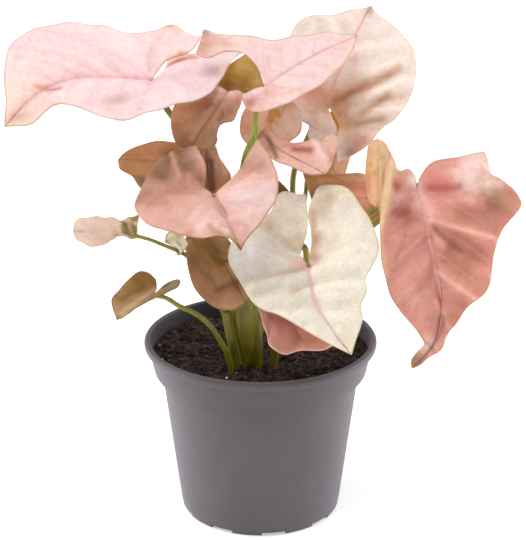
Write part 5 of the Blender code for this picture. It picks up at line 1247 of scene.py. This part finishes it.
def pot_material():
    """Recycled grey plastic: a fine moulded grain, faint clouds and a few rubbed marks; painted shade, with soil
    staining, darkens the inner wall, and painted shade darkens the faces that turn downwards under the lip and collar.
    """
    made, nodes, links, shader = new_material("grey_plastic")
    place = nodes.new("ShaderNodeTexCoord").outputs["Object"]
    clouds = noise_node(nodes, links, place, 35.0, 5.0, 0.6)
    grain = noise_node(nodes, links, place, 2600.0, 2.0, 0.6)
    stretch = nodes.new("ShaderNodeMapping")
    stretch.inputs["Scale"].default_value = (1.0, 1.0, 0.06)
    links.new(place, stretch.inputs["Vector"])
    streaks = noise_node(nodes, links, stretch.outputs["Vector"], 420.0, 3.0, 0.6)
    color = mix_node(nodes, links, ramp_node(nodes, links, clouds, 0.3, 0.7, 0.0, 1.0),
                     rgb((78, 73, 75)), rgb((89, 83, 86)))
    color = mix_node(nodes, links, ramp_node(nodes, links, streaks, 0.6, 0.8, 0.0, 0.35), color, rgb((106, 99, 104)))
    # Painted shade with soil staining: faces that turn towards the axis, the pot's inner wall, are darkened.
    spread = nodes.new("ShaderNodeVectorMath")
    spread.operation = "MULTIPLY"
    spread.inputs[1].default_value = (1.0, 1.0, 0.0)
    links.new(place, spread.inputs[0])
    outward = nodes.new("ShaderNodeVectorMath")
    outward.operation = "NORMALIZE"
    links.new(spread.outputs["Vector"], outward.inputs[0])
    facing = nodes.new("ShaderNodeVectorMath")
    facing.operation = "DOT_PRODUCT"
    links.new(outward.outputs["Vector"], facing.inputs[0])
    normal = nodes.new("ShaderNodeNewGeometry").outputs["Normal"]
    links.new(normal, facing.inputs[1])
    inner = ramp_node(nodes, links, facing.outputs["Value"], -0.85, -0.45, 1.0, 0.0)
    color = mix_node(nodes, links, inner, color, rgb((40, 37, 42)))
    # Painted shade: faces that turn downwards, under the lip and the collar, are darkened.
    split = nodes.new("ShaderNodeSeparateXYZ")
    links.new(normal, split.inputs[0])
    downward_shade = ramp_node(nodes, links, split.outputs["Z"], -0.5, -0.2, 1.0, 0.0)
    color = mix_node(nodes, links, downward_shade, color, rgb((52, 48, 51)))
    links.new(color, shader.inputs["Base Color"])
    links.new(ramp_node(nodes, links, clouds, 0.3, 0.7, 0.5, 0.6), shader.inputs["Roughness"])
    shader.inputs["Specular IOR Level"].default_value = 0.35
    shader.inputs["Sheen Weight"].default_value = 0.3
    shader.inputs["Sheen Roughness"].default_value = 0.5
    shader.inputs["Sheen Tint"].default_value = (0.88, 0.76, 0.93, 1.0)
    links.new(bump_node(nodes, links, grain, 0.00006, 0.6), shader.inputs["Normal"])
    return made


def make_soil():
    """Potting mix that fills the pot, with a lumpy top."""
    wall = inner_wall(GAP)
    rim_radius = wall[-1][0]
    vertices, faces = [], []
    sides = 300
    rings = 96
    turn = 2 * math.pi * np.arange(sides) / sides
    circle = np.stack([np.cos(turn), np.sin(turn), np.zeros(sides)], axis=1)
    vertices.append((0.0, 0.0, wall[0][1]))
    for radius, height in wall[:-1]:
        vertices += list(circle * radius + (0.0, 0.0, height))
    skirt = len(wall) - 1
    for k in range(rings):
        radius = rim_radius * (1 - k / rings) ** 0.8
        vertices += list(circle * radius + (0.0, 0.0, SOIL_LEVEL))
    vertices.append((0.0, 0.0, SOIL_LEVEL))
    total = skirt + rings
    for k in range(sides):
        after = (k + 1) % sides
        faces.append([0, 1 + after, 1 + k])
        for ring in range(total - 1):
            low = 1 + ring * sides
            faces.append([low + k, low + after, low + sides + after, low + sides + k])
        top = 1 + (total - 1) * sides
        faces.append([len(vertices) - 1, top + k, top + after])
    points = np.array(vertices)
    first = 1 + skirt * sides
    top = points[first:]
    lumps = 1.3 * soft_noise(top, 9.0, 1) + 1.1 * soft_noise(top, 3.4, 2) + 0.9 * soft_noise(top, 1.5, 3)
    radius = np.linalg.norm(top[:, :2], axis=1)
    lumps *= smooth_step(rim_radius - radius, 0.0, 1.5)
    top[:, 2] += lumps + 1.2 * np.exp(-(np.linalg.norm(top[:, :2] - (-5, -22), axis=1) / 14.0) ** 2)
    points[first:] = top
    soil = make_mesh("soil_body", points, faces)
    soil.data.materials.append(soil_material("potting_mix"))
    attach(soil, "root")
    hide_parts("soil")
    return top


def soil_material(name, dark=(18, 11, 12), light=(82, 58, 52), glint=(178, 160, 152)):
    """Damp peat: dark clods, lighter fibres, a few pale grains."""
    made, nodes, links, shader = new_material(name)
    place = nodes.new("ShaderNodeTexCoord").outputs["Object"]
    coarse = noise_node(nodes, links, place, 260.0, 5.0, 0.7)
    fine = noise_node(nodes, links, place, 1500.0, 4.0, 0.7)
    color = mix_node(nodes, links, ramp_node(nodes, links, coarse, 0.42, 0.68, 0.0, 1.0), rgb(dark), rgb(light))
    color = mix_node(nodes, links, ramp_node(nodes, links, fine, 0.55, 0.75, 0.0, 0.7), color, rgb(glint))
    links.new(color, shader.inputs["Base Color"])
    shader.inputs["Roughness"].default_value = 0.9
    shader.inputs["Specular IOR Level"].default_value = 0.3
    links.new(bump_node(nodes, links, fine, 0.0006, 0.9), shader.inputs["Normal"])
    return made


CRUMB_TONES = ((24, 16, 16), (92, 68, 60), (166, 148, 140))
GRAIN_TONES = ((196, 190, 180), (238, 236, 230), (238, 236, 230))
FIBRE_TONES = ((40, 29, 27), (128, 106, 96), (196, 178, 168))


def blob(place, size, rng):
    """A small uneven lump: an icosphere with its points pushed about."""
    work = bmesh.new()
    bmesh.ops.create_icosphere(work, subdivisions=2, radius=1.0)
    stretch = np.array([rng.uniform(0.6, 1.3), rng.uniform(0.6, 1.3), rng.uniform(0.5, 1.0)])
    shift = Vector((rng.uniform(0, 90), rng.uniform(0, 90), rng.uniform(0, 90)))
    spin = rng.uniform(0, math.pi)
    vertices = []
    for vertex in work.verts:
        p = np.array(vertex.co) * (1 + 0.35 * noise.noise(vertex.co * 1.3 + shift)) * stretch * size
        x = p[0] * math.cos(spin) - p[1] * math.sin(spin)
        y = p[0] * math.sin(spin) + p[1] * math.cos(spin)
        vertices.append((place[0] + x, place[1] + y, place[2] + p[2]))
    faces = [[v.index for v in face.verts] for face in work.faces]
    work.free()
    return vertices, faces


def scatter(name, top, count, sizes, seed, tones, sink=0.3):
    """Loose grains lying on the soil's top."""
    rng = random.Random(seed)
    radius = inner_wall(GAP)[-1][0]
    tree = KDTree(len(top))
    for k, p in enumerate(top):
        tree.insert(Vector((p[0], p[1], 0.0)), k)
    tree.balance()
    vertices, faces = [], []
    for _ in range(count):
        size = rng.uniform(*sizes)
        reach = (radius - size - 1.0) * math.sqrt(rng.random())
        turn = rng.uniform(0, 2 * math.pi)
        x, y = reach * math.cos(turn), reach * math.sin(turn)
        ground = top[tree.find(Vector((x, y, 0.0)))[1]][2]
        more, rings = blob((x, y, ground + size * sink), size, rng)
        faces += [[c + len(vertices) for c in ring] for ring in rings]
        vertices += more
    made = make_mesh(name, vertices, faces)
    made.data.materials.append(soil_material(name + "_look", *tones))
    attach(made, "root")
    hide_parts("soil")
    return made


def make_fibres(top, count, seed):
    """Short strands of peat and coir lying on the soil."""
    rng = random.Random(seed)
    radius = inner_wall(GAP)[-1][0]
    tree = KDTree(len(top))
    for k, p in enumerate(top):
        tree.insert(Vector((p[0], p[1], 0.0)), k)
    tree.balance()
    vertices, faces = [], []
    for _ in range(count):
        reach = (radius - 6.0) * math.sqrt(rng.random())
        turn = rng.uniform(0, 2 * math.pi)
        x, y = reach * math.cos(turn), reach * math.sin(turn)
        heading = rng.uniform(0, 2 * math.pi)
        bend = rng.uniform(-0.35, 0.35)
        path = []
        for k in range(7):
            ground = top[tree.find(Vector((x, y, 0.0)))[1]][2]
            path.append((x, y, ground + 0.35 + rng.uniform(-0.1, 0.4)))
            step = rng.uniform(0.8, 1.5)
            x += step * math.cos(heading)
            y += step * math.sin(heading)
            heading += bend
            if math.hypot(x, y) > radius - 1.0:
                break
        if len(path) < 4:
            continue
        thick = rng.uniform(0.1, 0.24)
        rings = tube_rings(np.array(path), [thick] * len(path), 5)
        faces += ring_faces(len(rings), 5, len(vertices))
        vertices += list(rings.reshape(-1, 3))
    made = make_mesh("soil_fibres", vertices, faces)
    made.data.materials.append(soil_material("fibre_look", *FIBRE_TONES))
    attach(made, "root")
    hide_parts("soil")
    return made


def make_stage():
    """A pale floor that reaches past the view, soft lights and the camera of the photograph."""
    floor = make_mesh("floor", [(-6000, -6000, 0), (6000, -6000, 0), (6000, 6000, 0), (-6000, 6000, 0)], [[0, 1, 2, 3]])
    made, nodes, links, shader = new_material("pale_floor")
    shader.inputs["Base Color"].default_value = (0.9, 0.9, 0.9, 1.0)
    shader.inputs["Roughness"].default_value = 0.9
    shader.inputs["Emission Color"].default_value = (1.0, 1.0, 1.0, 1.0)
    shader.inputs["Emission Strength"].default_value = 0.45
    floor.data.materials.append(made)

    world = bpy.data.worlds.new("studio")
    world.use_nodes = True
    world.node_tree.nodes["Background"].inputs["Color"].default_value = (1.0, 1.0, 1.0, 1.0)
    world.node_tree.nodes["Background"].inputs["Strength"].default_value = 0.5
    bpy.context.scene.world = world

    add_area("top", (-200, -350, 1250), (0, 0, 120), 900, 7.2)
    add_area("left", (-1000, 250, 350), (0, 0, 80), 700, 7.0)
    add_area("right", (1000, 250, 350), (0, 0, 80), 700, 7.0)

    camera = bpy.data.cameras.new("camera")
    camera.sensor_width = SENSOR_WIDTH
    camera.sensor_fit = "AUTO"
    camera.lens = FOCAL_PIXELS / max(IMAGE_WIDTH, IMAGE_HEIGHT) * SENSOR_WIDTH
    camera.clip_start = 0.01
    eye = bpy.data.objects.new("camera", camera)
    pitch = math.radians(CAMERA_PITCH)
    back = np.array([0.0, -math.cos(pitch), math.sin(pitch)])
    eye.location = (np.array(CAMERA_TARGET) + back * CAMERA_DISTANCE) * MM
    eye.rotation_euler = Vector(back).to_track_quat("Z", "Y").to_euler()
    bpy.context.scene.collection.objects.link(eye)
    bpy.context.scene.camera = eye
    bpy.context.scene.view_settings.view_transform = "Standard"


def add_area(name, place, target, size, power):
    light = bpy.data.lights.new(name, "AREA")
    light.shape = "DISK"
    light.size = size * MM
    light.energy = power
    lamp = bpy.data.objects.new(name, light)
    lamp.location = np.array(place) * MM
    lamp.rotation_euler = (Vector(place) - Vector(target)).to_track_quat("Z", "Y").to_euler()
    bpy.context.scene.collection.objects.link(lamp)


def main():
    make_stage()
    make_pot()
    top = make_soil()
    scatter("soil_crumbs", top, 700, (0.5, 1.7), 11, CRUMB_TONES)
    scatter("soil_grains", top, 26, (0.35, 0.8), 12, GRAIN_TONES, sink=0.5)
    make_fibres(top, 420, 13)
    for name, shoots in CUTTINGS.items():
        make_stems(name, shoots)
    for seed, (name, leaf) in enumerate(LEAVES.items()):
        make_leaf(name, leaf, LOOKS[name], seed)


main()
